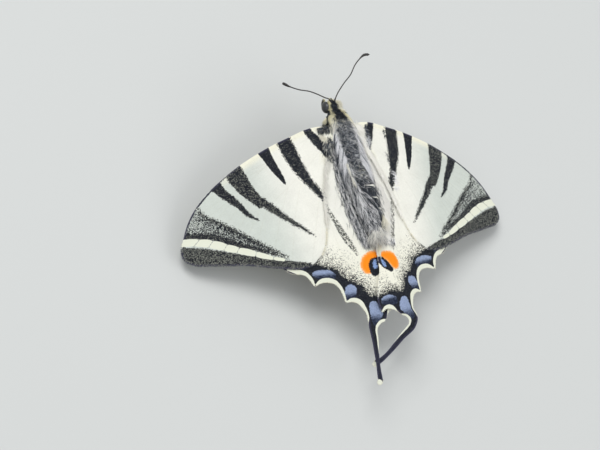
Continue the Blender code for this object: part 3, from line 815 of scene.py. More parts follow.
def hairMaterial():
    material, tree, shader = newMaterial("coat hair")
    shade = readNumber(tree, "along").scaled(0.1, readNumber(tree, "shade"))
    colour = placeGroup(tree, coatColour, Shade=shade, Warm=readNumber(tree, "warm"))["Colour"]
    streak = placeGroup(tree, mottle, Place=objectPlace(tree), Scale=2500.0)["Fine"]
    dress(shader, colour, readNumber(tree, "lock").scaled(0.15, 0.5), streak, 0.25, 0.00001, 0.14)
    return material


def skinMaterial():
    material, tree, shader = newMaterial("body cuticle")
    slow = placeGroup(tree, mottle, Place=objectPlace(tree), Scale=500.0)["Slow"]
    cells = placeGroup(tree, scaleCells, Place=readNumber(tree, "round", "Vector"), Size=0.09, Length=1.8)
    shade = readNumber(tree, "shade") + (cells["Grain"] - 0.5) * 0.22
    colour = placeGroup(tree, coatColour, Shade=shade, Warm=readNumber(tree, "warm"))["Colour"]
    colour = blend(slow * 0.35, colour, rgb(0.03, 0.03, 0.035))
    dress(shader, colour, cells["Second"].scaled(0.2, 0.5), cells["Height"], 0.7, 0.00004, 0.2)
    return material


def eyeMaterial():
    material, tree, shader = newMaterial("compound eye")
    place = objectPlace(tree)
    lenses = addNode(tree, "TexVoronoi", {"feature": "DISTANCE_TO_EDGE"},
                     {"Vector": place, "Scale": 26000.0})
    seam = wires(lenses)["Distance"]
    blotch = placeGroup(tree, mottle, Place=place, Scale=900.0)["Slow"]
    # painted highlight: the eye is blended towards a lighter grey in blotches over its upper part, where the
    # light falls on it
    paintedHighlightTint = blend(blotch * readNumber(tree, "upper"), rgb(0.008, 0.008, 0.009), rgb(0.085, 0.088, 0.095))
    colour = blend(seam.sum("LESS_THAN", seam, 0.07) * 0.5, paintedHighlightTint, rgb(0.005, 0.005, 0.006))
    dress(shader, colour, blotch.scaled(0.15, 0.22), seam, 0.5, 0.00001, 0.4)
    feed(shader, {"Coat Weight": 0.15, "Coat Roughness": 0.15})
    return material


# Dark horn for feelers, tongue and claws, and the scaled legs, from one recipe
def hornMaterial(name, dark, light, roughness, cellSize):
    material, tree, shader = newMaterial(name)
    cells = placeGroup(tree, scaleCells, Place=readNumber(tree, "round", "Vector"), Size=cellSize,
                       Length=2.0)
    slow = placeGroup(tree, mottle, Place=objectPlace(tree), Scale=700.0)["Slow"]
    share = (readNumber(tree, "shade") + (cells["Grain"] - 0.5) * 0.35).clamped()
    colour = blend(slow * 0.3, blend(share, dark, light), rgb(0.02, 0.018, 0.016))
    dress(shader, colour, cells["Second"].scaled(0.18, roughness), cells["Height"], 0.6, 0.00003, 0.5)
    return material


wingFinish, hairFinish, skinFinish, eyeFinish = wingMaterial(), hairMaterial(), skinMaterial(), eyeMaterial()
hornFinish = hornMaterial("dark horn", rgb(0.012, 0.011, 0.011), rgb(0.10, 0.085, 0.07), 0.38, 0.05)
legFinish = hornMaterial("leg scales", rgb(0.03, 0.028, 0.028), rgb(0.62, 0.56, 0.38), 0.5, 0.07)
print("materials made")

foreNet = flatNet(foreOutline, foreCorners, wingSet["grain"])
hindNet = flatNet(hindOutline, hindCorners, wingSet["grain"])
for side in (1, -1):
    makeWing("hind", hindNet, side, True)
    makeWing("fore", foreNet, side, False)
print("wings made")


# Body: one skin from brow to tail tip, inside the solids by the depth of the coat
bodySet = {
    # back, half width, half height, height of the axis
    "stations": ((-7.5, 0.1, 0.12, -1.5), (-7.3, 0.55, 0.62, -1.45), (-6.9, 0.92, 1.0, -1.36),
                 (-6.4, 1.06, 1.14, -1.3), (-5.8, 1.04, 1.1, -1.25), (-5.3, 1.0, 1.08, -1.18),
                 (-4.9, 1.08, 1.2, -1.1), (-4.5, 1.28, 1.5, -1.04), (-3.6, 1.74, 2.1, -0.96),
                 (-2.2, 2.12, 2.6, -0.95), (0.2, 2.3, 2.8, -0.95), (2.6, 2.2, 2.72, -0.9),
                 (4.6, 1.9, 2.3, -0.75), (6.2, 1.52, 1.72, -0.45), (6.9, 1.5, 1.5, -0.28)),
    "waist": 6.9, "tip": 22.62, "radius": 2.14, "droop": 1.6, "swing": 2.6, "segments": 7,
    "rings": 300, "sides": 80,
}
bodyTable = alongPath(bodySet["stations"], np.linspace(0, 1, 240))[0].T
rearwards = np.array((0.0, 1.0, 0.0))


def bodySection(back):
    back = np.asarray(back, float)
    share = np.clip((back - bodySet["waist"]) / (bodySet["tip"] - bodySet["waist"]), 0, 1)
    step = (share * bodySet["segments"]) % 1.0
    ring = 0.972 + 0.05 * smoothStep(0.0, 0.85, step) - 0.05 * smoothStep(0.93, 1.0, step)
    girth = bodySet["radius"] * (0.745 + 0.255 * smoothStep(0, 0.3, share)) * (1 - 0.22 * share ** 1.5)
    girth = girth * np.sqrt(np.maximum(1 - share ** 5, 0.0004)) * ring
    rear = back > bodySet["waist"]
    beyond = np.maximum(back - bodySet["waist"], 0)
    width, height, axis = (np.interp(back, bodyTable[0], column) for column in bodyTable[1:])
    width, height = np.where(rear, girth, width), np.where(rear, girth, height)
    side = -math.tan(math.radians(bodySet["swing"])) * beyond
    return side, axis - math.tan(math.radians(bodySet["droop"])) * beyond, width, height


def bodyPoint(back, angle, lift=0.0):
    side, axis, width, height = bodySection(back)
    return asRows(side + (width + lift) * np.sin(angle), back + 0 * angle,
                  axis + (height + lift) * np.cos(angle))


def bodyNormal(back, angle):
    along = bodyPoint(back + 0.03, angle) - bodyPoint(back - 0.03, angle)
    around = bodyPoint(back, angle + 0.02) - bodyPoint(back, angle - 0.02)
    return unit(np.cross(around, along))


# How the body's stripe widens and pales from the brow to the tip, as readings at places along the back
stripeSet = {
    "halfWidth": ((-8, -5, -3, -1, 0.5, 6, 7, 12, 20, 23), (21, 25, 30, 38, 45, 52, 60, 68, 62, 48)),
    "leftLean": ((-8, -5, -3, -1), (10, 12, 8, 0)),
    "rightLean": ((-7, -6, -5, -4, -3, -1), (0, -2, -11, -12, -7, 0)),
    "dark": ((-8, -2.6, -2.1, 0, 6.5, 7.6, 23), (0.01, 0.02, 0.2, 0.25, 0.2, 0.07, 0.09)),
    "pale": ((-8, -2, 1, 6, 23), (0.92, 0.9, 0.82, 0.8, 0.88)),
    "warm": ((-8, -3.2, -0.6, 6, 8, 23), (1.0, 0.9, 0.25, 0.05, 0.5, 0.75)),
}


# The markings of skin and coat alike: shade from black to pale, and how warm the pale is
def bodyShade(back, angle):
    degrees = np.degrees(np.abs(angle))
    half, leftLean, rightLean, depth, pale, warm = (np.interp(back, *row) for row in stripeSet.values())
    half = half + np.where(angle > 0, leftLean, rightLean)
    half = half + 34 * smoothStep(3.5, 6, back) * smoothStep(21.8, 19.5, back) * (angle > 0)
    dark = smoothStep(half + 5, half - 5, degrees)
    shade = pale * (1 - dark) + depth * dark
    cheek = np.maximum(smoothStep(-4.1, -4.5, back), smoothStep(0.5, 0.3, np.abs(back + 2.9)))
    cheekTop = np.where(angle > 0, np.interp(back, (-6.0, -5.2), (60, 52)), 60)
    cheek = cheek * smoothStep(cheekTop - 2.5, cheekTop + 2.5, degrees) * smoothStep(112, 104, degrees)
    shade = shade * (1 - cheek) + 0.02 * cheek
    flank = np.maximum(*(smoothStep(8, 5, np.abs(degrees - line)) for line in (111, 157)))
    flank = flank * smoothStep(6.3, 7.2, back)
    return shade * (1 - flank) + 0.04 * flank, warm


def coatPlace(back, angle):
    return asRows(0.03 + 0.94 * (angle / (2 * np.pi) + 0.5), 0.03 + 0.94 * (back + 8) / 31)


def makeSkin():
    front, waist, tip = bodySet["stations"][0][0], bodySet["waist"], bodySet["tip"]
    rings, sides = bodySet["rings"], bodySet["sides"]
    backs = np.concatenate([np.linspace(front, waist, rings // 3, endpoint=False),
                            np.linspace(waist, tip, rings * 2 // 3)])
    angles = np.linspace(-np.pi, np.pi, sides, endpoint=False)
    back, angle = (grid.ravel() for grid in np.meshgrid(backs, angles, indexing="ij"))
    points = bodyPoint(back, angle)
    dips = 0.03 * np.sin(back * 9 + 2 * np.sin(3 * angle)) * smoothStep(7, 5, back)
    points = points + bodyNormal(back, angle) * dips[:, None] * smoothStep(-7.45, -7.2, back)[:, None]
    ends = points.reshape(-1, sides, 3)[[0, -1]].mean(1)
    faces = [np.roll(group[:, ::-1], 1, axis=1) for group in ringFaces(len(backs), sides)]
    back, angle = np.append(back, (front, tip)), np.append(angle, (0, 0))
    shade, warm = bodyShade(back, angle)
    numbers = {"shade": shade, "warm": warm, "round": asRows(back, angle * 1.9, 0)}
    mesh = meshFromArrays("body_skin", np.vstack([points, ends]), faces, numbers, coatPlace(back, angle))
    addPiece("body_skin", mesh, skinFinish, ("head", "thorax", "abdomen"))


makeSkin()


def nearestOf(roots, chosen):
    tree = makeTree(roots[chosen])
    return np.asarray(chosen)[[tree.find(root)[1] for root in roots]]


# Hair combed over a surface: lie is the way it points, lift and settle how steeply it starts and ends.
# Neighbours share a lock, which leans and darkens them alike and draws their tips together.
def comb(name, roots, normals, lie, lengths, width, lift, settle, scatter, curl, shade, warm, places,
         slot="body_hair", rings=3, lockShare=0.06, lockTurn=0.2, lockShade=0.06, gather=0.35):
    count = len(roots)
    lie = unit(lie - normals * (lie * normals).sum(1, keepdims=True))
    side = np.cross(normals, lie)
    lock = nearestOf(roots, dice.permutation(count)[:max(2, int(count * lockShare))])
    shared = dice.normal(0, 1, (count, 2))[lock]
    turn = dice.normal(0, scatter, (count, 1)) + shared[:, :1] * lockTurn
    lift, settle = (np.broadcast_to(np.asarray(value, float), count)[:, None] for value in (lift, settle))
    starts = unit(lie * np.cos(lift) + normals * np.sin(lift) + side * turn)
    bend = turn + dice.normal(0, curl, (count, 1))
    ends = unit(lie * np.cos(settle) + normals * np.sin(settle) + side * bend)
    ends = ends + (roots[lock] - roots) / lengths[:, None] * gather * 2
    t = np.linspace(0, 1, rings + 1)[None, :, None]
    sweep = starts[:, None] * t + 0.5 * (ends - starts)[:, None] * t ** 2
    paths = roots[:, None] + lengths[:, None, None] * sweep
    widths = np.asarray(width, float) * dice.uniform(0.75, 1.25, count)
    growTufts(name, paths, widths, normals, shade + shared[:, 1] * lockShade, warm, places)


# The same, rooted on the body. depth is below the skin, and upright turns the roots towards the sky.
def combBody(name, back, angle, lie, lengths, width, lift, settle, scatter, curl, shade, warm,
             depth=0.03, upright=(1, 0), **locks):
    normals = bodyNormal(back, angle) * upright[0] + (0, 0, upright[1])
    comb(name, bodyPoint(back, angle, -depth), normals, np.broadcast_to(lie, normals.shape), lengths,
         width, lift, settle, scatter, curl, shade, warm, coatPlace(back, angle), **locks)


# Places spread evenly over a length of the body, between two angles from the top
def bodyRoots(count, front, rear, leastAngle=0.0, mostAngle=180.0):
    tries = count * 3
    back = dice.uniform(front, rear, tries)
    angle = np.radians(dice.uniform(leastAngle, mostAngle, tries)) * dice.choice((-1, 1), tries)
    width = bodySection(back)[2]
    kept = dice.random(tries) < width / width.max()
    return back[kept][:count], angle[kept][:count]


# Two shades of hair, the first of them this share of the whole
def streaked(count, share, first, second, spread):
    return np.where(dice.random(count) < share, first, second) + dice.normal(0, spread, count)


def outwardOf(angle):
    return asRows(np.sin(angle), 0, 0)


coatSet = {
    "thorax": 10200, "flanks": 5000, "abdomen": 8500, "head": 9300, "fuzz": 4600,
    "paleLock": 420, "curls": 320, "rightFlank": 3700, "tip": 1000,
    "fringe": 15,        # fringe scales to a millimetre of margin
    "fringeLength": 0.3,
}


def coatThorax():
    back, angle = bodyRoots(coatSet["thorax"], -4.9, 11.0, 0, 75)
    kept = (back < 7.6) | (bodyShade(back, angle)[0] < 0.3)
    back, angle = back[kept], angle[kept]
    count = len(back)
    shade, warm = bodyShade(back, angle)
    curly = smoothStep(-2.6, -2.0, back) * (shade < 0.5)
    curl = np.interp(back, (7.0, 11.0), (0.3, 0.2)) + dice.normal(0, 0.07, count)
    shade = np.where(curly > 0.5, curl, shade + dice.normal(0, 0.07, count))
    lie = rearwards + outwardOf(angle) * 0.35 + dice.normal(0, 0.2, (count, 3)) * curly[:, None]
    lengths = dice.uniform(0.7, 1.35, count) * np.interp(back, (-5, -3, 7, 11), (0.7, 0.9, 1.0, 0.75))
    combBody("coat_thorax", back, angle, lie, lengths, 0.07, 0.8, -0.2, 0.2, 0.5, shade, warm,
             lockShare=0.1, lockTurn=0.95, lockShade=np.where(back < -2.3, 0.04, 0.19), gather=1.0)
    back, angle = bodyRoots(coatSet["flanks"], -4.9, 7.0, 60, 180)
    shade, warm = bodyShade(back, angle)
    shade = shade + dice.normal(0, 0.08, len(back))
    shade = shade - 0.25 * smoothStep(120, 170, np.degrees(np.abs(angle)))
    lengths = dice.uniform(0.55, 1.2, len(back)) * np.interp(back, (-5, -3, 7), (0.7, 0.95, 1.0))
    combBody("coat_flanks", back, angle, rearwards + (0, 0, -0.35), lengths, 0.1, 0.5, 0.05, 0.2, 0.4,
             shade, warm, lockShade=0.1)


def coatAbdomen():
    back, angle = bodyRoots(coatSet["abdomen"], 6.4, 22.5)
    shade, warm = bodyShade(back, angle)
    shade = shade + dice.normal(0, 0.05, len(back))
    lengths = dice.uniform(0.3, 0.52, len(back)) * np.interp(back, (6, 8, 19, 22.6), (1.5, 1.0, 1.0, 1.7))
    lift = np.interp(back, (6, 9, 20, 22.6), (0.4, 0.24, 0.24, 0.35))
    combBody("coat_abdomen", back, angle, rearwards, lengths, 0.1, lift, -0.12, 0.12, 0.15, shade, warm,
             lockTurn=0.08, gather=0.1)
    # a pale lock down its left shoulder
    count = coatSet["paleLock"]
    share = dice.random(count)
    angle = np.radians(63 - 14 * share) + dice.normal(0, 0.035, count)
    combBody("pale_lock", 6.6 + 5.2 * share, angle, rearwards + (-0.12, 0, 0),
             dice.uniform(0.8, 1.6, count), 0.07, 0.4, 0.0, 0.08, 0.12, 1.0 + dice.normal(0, 0.04, count),
             0.35, depth=-0.2, lockTurn=0.05, lockShade=0.03, gather=0.3)


# Longer dark hair that widens the right of the abdomen, and the pale tuft at its tip
def coatRear():
    count = coatSet["rightFlank"]
    back = dice.uniform(5.6, 20.5, count)
    angle = -np.radians(dice.uniform(38, 88, count))
    lengths = dice.uniform(0.7, 1.5, count) * np.interp(back, (5.6, 9, 17, 20.5), (0.7, 1.1, 1.0, 0.6))
    combBody("coat_right_flank", back, angle, (-0.55, 1.0, 0.0), lengths, 0.1, 0.55, 0.0, 0.15, 0.3,
             streaked(count, 0.16, 0.42, 0.1, 0.05), 0.1)
    count = coatSet["tip"]
    back = dice.uniform(20.6, 22.45, count)
    angle = np.radians(dice.uniform(-100, 100, count))
    lie = rearwards + asRows(np.sin(angle) * 0.25 - 0.1, 0, 0)
    combBody("tip_tuft", back, angle, lie, dice.uniform(1.2, 3.4, count), 0.075, 0.22, 0.05, 0.16, 0.25,
             streaked(count, 0.15, 0.35, 0.95, 0.06), 0.3, depth=-0.05, upright=(0.5, 0.6),
             rings=4, lockTurn=0.4, lockShade=0.36, gather=0.9)


# Single pale hairs that curl over the dark of the back
def coatCurls():
    back, angle = bodyRoots(coatSet["curls"], -1.8, 13.0, 0, 48)
    count = len(back)
    outward = outwardOf(angle + dice.normal(0, 0.8, count))
    lie = rearwards * 0.5 + outward * 3 + dice.normal(0, 0.5, (count, 3))
    combBody("stray_curls", back, angle, lie, dice.uniform(1.1, 2.2, count), 0.055, 0.95, -0.25, 0.5, 1.1,
             dice.uniform(0.5, 0.95, count), 0.15, rings=6, lockShare=0.5, gather=0.2)


# Fine white lines across the right of the abdomen: how far back, from which angle to which, how many hairs
crossLines = ((12.7, -82, 12, 34), (15.2, -80, 0, 22), (17.4, -78, -20, 16))


def coatCrossLines():
    paths, backs, angles = [], [], []
    for where, first, last, count in crossLines:
        for _ in range(count):
            start = first + (last - first) * dice.uniform(0, 0.5)
            stop = start + (last - first) * dice.uniform(0.4, 0.6)
            angle = np.radians(np.linspace(start, stop, 8))
            back = where + 0.35 * np.cos(np.linspace(-1.2, 1.0, 8)) - 0.3 + dice.normal(0, 0.06)
            paths.append(bodyPoint(back, angle, 0.62 + 0.16 * dice.random()))
            backs.append(back[0])
            angles.append(angle[0])
    paths, backs, angles = np.array(paths), np.array(backs), np.array(angles)
    growTufts("cross_lines", paths, dice.uniform(0.07, 0.1, len(paths)), bodyNormal(backs, angles), 1.1,
              0.3, coatPlace(backs, angles))


def coatHead():
    back, angle = bodyRoots(coatSet["head"], -7.45, -4.3)
    shade, warm = bodyShade(back, angle)
    shade = shade + dice.normal(0, 0.05, len(back))
    turn = np.degrees(angle)
    brow = smoothStep(-6.7, -7.2, back)
    crest = smoothStep(75, 45, np.abs(turn)) * smoothStep(-7.1, -6.4, back)
    crest = np.maximum(crest, smoothStep(-5.8, -5.3, back) * smoothStep(110, 80, np.abs(turn)))
    ruff = smoothStep(18, 35, -turn) * smoothStep(110, 85, -turn) * smoothStep(-7.2, -6.8, back)
    lengths = dice.uniform(0.3, 0.5, len(back)) * (1 + 0.5 * brow + 1.1 * np.maximum(crest, 1.7 * ruff))
    upper = smoothStep(100, 60, np.abs(turn))
    lift = 0.4 + 0.5 * np.maximum(np.maximum(brow * upper, crest), 1.1 * ruff)
    lie = rearwards * (1 - brow[:, None]) + np.array((0.0, -1.0, 0.35)) * brow[:, None]
    lie = lie + outwardOf(angle) * 0.4 * brow[:, None] + outwardOf(angle) * 0.45 * crest[:, None]
    combBody("coat_head", back, angle, lie, lengths, 0.075, lift, lift * 0.2, 0.2, 0.3, shade,
             warm - 0.35 * ruff, lockTurn=0.25, lockShade=0.08)


# Longer hair beside the eyes, and tufts at the shoulders in front of the forewing roots
tuftKinds = {
    "eye": {"width": 0.07, "scatter": 0.18, "curl": 0.25, "spread": 0.06, "locks": {"lockShade": 0.08}},
    "shoulder": {"width": 0.08, "scatter": 0.15, "curl": 0.2, "spread": 0.04,
                 "locks": {"upright": (0.6, 0.5), "gather": 0.2}},
}
tuftSet = (
    # name, side, kind, count, how far back, angles, lie, lengths, lift, settle, shade, warm
    ("brow", 1, "eye", 620, (-7.2, -5.2), (26, 50), (1.0, 0.35, 0.25), (0.55, 1.0), 0.85, 0.25, 0.95, 0.9),
    ("lash", 1, "eye", 260, (-7.4, -6.9), (30, 85), (0.55, -1.0, 0.5), (0.5, 0.95), 0.6, 0.3, 0.95, 0.6),
    ("nape", 1, "eye", 620, (-5.6, -4.1), (60, 98), (1.0, 0.5, 0.2), (0.7, 1.3), 0.7, 0.2, 0.02, 0.6),
    ("brow", -1, "eye", 1000, (-7.2, -4.9), (24, 62), (-1.0, 0.55, 0.2), (1.2, 2.0), 0.85, 0.05, 0.93, 0.5),
    ("shoulder_neck", 1, "shoulder", 700, (-4.6, -3.0), (60, 90), (1.0, 0.5, 0.1), (0.7, 1.25),
     0.25, -0.15, 0.02, 0.6),
    ("shoulder_pale", 1, "shoulder", 300, (-4.3, -3.5), (84, 98), (1.0, 0.5, 0.1), (1.6, 2.2),
     0.25, -0.15, 1.35, 0.7),
    ("shoulder_dark", 1, "shoulder", 120, (-3.4, -3.0), (92, 102), (1.0, 0.5, 0.1), (2.2, 2.8),
     0.25, -0.15, 0.02, 0.5),
    ("shoulder_pale", -1, "shoulder", 900, (-4.4, -2.7), (62, 96), (-1.0, 0.5, 0.1), (0.9, 1.7),
     0.25, -0.15, 0.98, 0.35),
)


def coatTufts():
    for word, side, kind, count, backs, angles, lie, lengths, lift, settle, tone, warm in tuftSet:
        width, scatter, curl, spread, locks = tuftKinds[kind].values()
        back = dice.uniform(*backs, count)
        angle = np.radians(dice.uniform(*angles, count)) * side
        combBody(f"{word}_{sideWords[side]}", back, angle, lie, dice.uniform(*lengths, count), width, lift,
                 settle, scatter, curl, tone + dice.normal(0, spread, count), warm, rings=4, **locks)


# A place on a wing, the way up from it, and the wing's own outwards and backwards
def wingSpot(side, flat, hind):
    flat = np.asarray(flat, float)
    spot = wingPoints(side, flat, hind)
    outwards = wingPoints(side, flat + (0.05, 0), hind) - spot
    backwards = wingPoints(side, flat + (0, 0.05), hind) - spot
    normals = unit(np.cross(outwards, backwards)) * side
    return spot, normals, unit(outwards), unit(backwards)


def wingPlace(flat):
    return 0.03 + 0.94 * (flat + (6, 3)) / (43, 57)


# Long hair from the flanks of the thorax, in locks that leave the body and come to rest on a wing
maneSet = {"locks": {1: 680, -1: 700}, "each": 4, "width": 0.065, "bow": 0.16, "rings": 4}


def coatMane(side):
    locks, each, rings = maneSet["locks"][side], maneSet["each"], maneSet["rings"]
    lock = np.repeat(np.arange(locks), each)
    count = len(lock)
    back = dice.uniform(-4.3, 7.6, locks)[lock] + dice.normal(0, 0.05, count)
    turn = np.radians(dice.uniform(40, 84, locks))
    angle = (turn[lock] + dice.normal(0, 0.015, count)) * side
    roots, normals = bodyPoint(back, angle), bodyNormal(back, angle)
    flow = dice.uniform(1.4, 3.8, locks)[lock] * dice.uniform(0.8, 1.1, count)
    flow = flow * np.interp(back, (-4.3, -1, 4, 7.6), (0.7, 1.0, 1.5, 1.6))
    out = np.clip(dice.normal(0.75, 0.5, locks), -0.4, 2.2)[lock] * (1.0 if side < 0 else 0.45)
    out = out * np.interp(back, (-4.3, -1, 7), (0.4, 1.0, 1.2)) + 0.6 * smoothStep(1, 6, back) * (side < 0)
    out = out + dice.normal(0, 0.03, count)
    landed = asRows(out, back + flow)
    spots, ups = wingSpot(side, landed, True)[:2]
    front = smoothStep(1.5, -1.0, back + flow)[:, None]
    landings = spots + ups * (0.2 + 0.62 * smoothStep(7, 3, landed[:, 1])[:, None]) + front * (0, 0, 0.25)
    # the lower locks on the left are dark
    lower = 0.15 + 0.72 * smoothStep(np.radians(50), np.radians(64), turn)
    dark = (dice.random(locks) < (lower if side > 0 else 0.08))[lock] * smoothStep(-3.6, -2.8, back)
    shade = 0.9 - 0.72 * dark + dice.normal(0, 0.09, locks)[lock] + dice.normal(0, 0.05, count)
    warm = np.interp(back, (-4.3, -2.5, 0), (0.9, 0.5, 0.05))
    span = np.linalg.norm(landings - roots, axis=1, keepdims=True)
    middles = roots * 0.55 + landings * 0.45 + normals * span * maneSet["bow"]
    middles = middles + dice.normal(0, 0.03, roots.shape)
    t = np.linspace(0, 1, rings + 1)[None, :, None]
    paths = (1 - t) ** 2 * roots[:, None] + 2 * t * (1 - t) * middles[:, None] + t ** 2 * landings[:, None]
    paths = paths + dice.normal(0, 0.01, paths.shape)
    widths = maneSet["width"] * dice.uniform(0.75, 1.25, count)
    growTufts(f"mane_{sideWords[side]}", paths, widths, normals, shade, warm, coatPlace(back, angle))


coatThorax()
coatAbdomen()
coatRear()
coatCurls()
coatCrossLines()
coatHead()
coatTufts()
coatMane(1)
coatMane(-1)
print("coat made")


# Eyes: domed facets over the whole ball
eyeSet = {"centre": (1.26, -6.3, -1.5), "radii": (0.84, 1.2, 1.15), "facets": 5, "dome": 0.012,
          "bulge": 0.075}


def roundBall(steps):
    work = bmesh.new()
    bmesh.ops.create_icosphere(work, subdivisions=steps, radius=1.0)
    spots = np.array([vertex.co[:] for vertex in work.verts])
    faces = np.array([[vertex.index for vertex in face.verts] for face in work.faces])
    work.free()
    return spots, faces


def makeEye(side):
    lenses = makeTree(roundBall(eyeSet["facets"])[0])
    spots, faces = roundBall(eyeSet["facets"] + 1)
    away = np.array([lenses.find(spot)[2] for spot in spots])
    lift = eyeSet["dome"] * (1 - np.clip(away / (eyeSet["bulge"] / 2), 0, 1) ** 2)
    points = np.array(eyeSet["centre"]) * (side, 1, 1) + spots * (1 + lift)[:, None] * eyeSet["radii"]
    name = f"eye_{sideWords[side]}"
    # upper weights the eye's painted highlight, strongest over its top
    mesh = meshFromArrays(f"{name}_lenses", points, [faces], {"upper": smoothStep(-0.5, 0.7, spots[:, 2])})
    addPiece(f"{name}_lenses", mesh, eyeFinish, (name,))


# Feelers: a bulbous base, flared joints and a club that bends up
feelerSet = {
    "paths": {1: ((0.4, -7.0, -0.5), (0.85, -7.5, -0.14), (1.95, -7.75, 0.3), (3.85, -8.4, 1.0),
                  (5.7, -8.85, 1.65), (8.15, -9.1, 2.35), (10.3, -9.65, 3.0), (11.3, -10.0, 3.4),
                  (12.2, -10.2, 3.9)),
              -1: ((-0.4, -7.0, -0.5), (-0.85, -7.75, -0.16), (-1.6, -8.7, 0.0), (-3.2, -10.3, 0.35),
                   (-5.2, -12.0, 0.6), (-6.65, -13.8, 0.8), (-8.0, -15.0, 0.9), (-9.3, -15.8, 1.1),
                   (-10.5, -15.7, 1.35))},
    "joints": 38, "shaft": 0.115, "club": 0.27, "clubStart": 0.8, "flare": 0.16,
}


def makeFeeler(side):
    path, steps = feelerSet["paths"][side], feelerSet["joints"] * 8
    line = alongPath(path, np.linspace(0, 1, 40 * len(path)))[0]
    centres = resample(line, np.linspace(0, reachAlong(line)[-1], steps + 1))
    share = np.linspace(0, 1, steps + 1)
    swell = smoothStep(feelerSet["clubStart"], 0.93, share)
    radii = feelerSet["shaft"] + (feelerSet["club"] - feelerSet["shaft"]) * swell
    radii = radii * np.sqrt(np.maximum(1 - smoothStep(0.965, 1.002, share), 0.02))
    radii = radii + 0.16 * bell(share, 0.016) + 0.05 * bell(share - 0.035, 0.01)
    beat = (share * feelerSet["joints"]) % 1.0
    radii = radii * (1 + feelerSet["flare"] * (smoothStep(0, 0.8, beat) - smoothStep(0.88, 1.0, beat) - 0.5))
    glint = smoothStep(0.0, 0.2, beat) * smoothStep(0.5, 0.2, beat)
    shade = 0.12 + 0.25 * glint * smoothStep(0.9, 0.5, share)
    name = f"antenna_{sideWords[side]}"
    makePiece(f"{name}_joints", [tubePart(centres, radii, shade, 14)], hornFinish, (name,))


# Tongue: a flat coil between the palps
tongueSet = {"centre": (0, -7.75, -3.95), "turns": 2.7, "outer": 1.12, "inner": 0.2, "thick": 0.14,
             "thin": 0.06, "rings": 120}


def makeTongue():
    share = np.linspace(0, 1, 420)
    turn = math.radians(60) - 2 * math.pi * tongueSet["turns"] * share
    reach = tongueSet["outer"] + (tongueSet["inner"] - tongueSet["outer"]) * share ** 0.8
    side, back, height = tongueSet["centre"]
    centres = asRows(side, back + reach * np.cos(turn), height + reach * np.sin(turn))
    beat = (share * tongueSet["rings"]) % 1.0
    radii = tongueSet["thick"] + (tongueSet["thin"] - tongueSet["thick"]) * share
    radii = radii * (1 - 0.1 * np.abs(beat - 0.5))
    makePiece("tongue_coil", [tubePart(centres, radii, 0.35, 10, 0.8, (1, 0, 0))], hornFinish,
              ("proboscis",))


palpSet = {"path": ((0.82, -6.9, -3.35), (0.84, -7.5, -3.25), (0.82, -8.0, -2.95), (0.76, -8.3, -2.4)),
           "hairs": 850}


# Directions that stand out round a heading, at the given turns
def roundHeading(heading, guide, turn):
    across = unit(np.cross(heading, guide))
    return across * np.cos(turn)[:, None] + np.cross(heading, across) * np.sin(turn)[:, None]


def makePalp(side):
    path = np.array(palpSet["path"]) * (side, 1, 1)
    share = np.linspace(0, 1, 40)
    radii = (0.25 + 0.03 * np.sin(share * 9)) * np.sqrt(np.maximum(1 - share ** 6, 0.02))
    name = f"palp_{sideWords[side]}"
    core = tubePart(alongPath(path, share)[0], radii, 0.8, 14)
    makePiece(f"{name}_core", [core], legFinish, (name,))
    count = palpSet["hairs"]
    share = dice.random(count)
    spot, heading = alongPath(path, share)
    turn = dice.uniform(0, 2 * np.pi, count)
    normals = roundHeading(heading, (1, 0.2, 0.1), turn)
    shade = np.where(normals[:, 0] * side > 0.45, 0.05, 0.9) + dice.normal(0, 0.06, count)
    lengths = dice.uniform(0.2, 0.42, count)
    comb(f"{name}_hair", spot + normals * 0.22, normals, heading, lengths, 0.055, 0.5, 0.1, 0.2, 0.2, shade,
         0.9, 0.05 + 0.9 * asRows(turn / 6.2832, share))


# Legs: coxa, thigh, shank and five toe joints, with spurs and paired claws
legSet = {
    # hip, knee, ankle, where the foot meets the floor, toe
    "fore": ((0.9, -3.0, -4.42), (4.3, -3.3, -6.0), (5.9, -3.4, -11.6), (6.4, -3.1, -13.3),
             (7.3, -1.7, -13.3)),
    "mid": ((1.1, 0.3, -4.72), (5.6, 1.9, -4.6), (7.9, 3.3, -12.0), (8.9, 4.0, -13.3), (11.2, 5.6, -13.3)),
    "hind": ((1.0, 3.4, -4.62), (4.2, 8.2, -5.4), (6.0, 13.4, -12.3), (6.5, 14.8, -13.3),
             (7.6, 19.4, -13.3)),
    "thigh": 0.34, "thighArch": (0, 0, 0.18), "shank": 0.2, "toe": 0.13, "claw": 0.42,
    "hairs": 340, "spines": 46,
}


# A line through corners that are rounded off, and how far along it each of its points lies
def roundedPath(corners, bend, steps):
    line = [corners[0]]
    for before, corner, after in zip(corners, corners[1:], corners[2:]):
        enter, leave = (corner + unit(end - corner) * min(bend, 0.45 * np.linalg.norm(end - corner))
                        for end in (before, after))
        line += [(1 - t) ** 2 * enter + 2 * t * (1 - t) * corner + t * t * leave
                 for t in np.linspace(0, 1, 7)]
    line = np.array(line + [corners[-1]])
    place = np.linspace(0, reachAlong(line)[-1], steps)
    return resample(line, place), place


def spike(spots, thick, thin, shade, sides):
    return tubePart(spots, np.linspace(thick, thin, len(spots)), shade, sides)


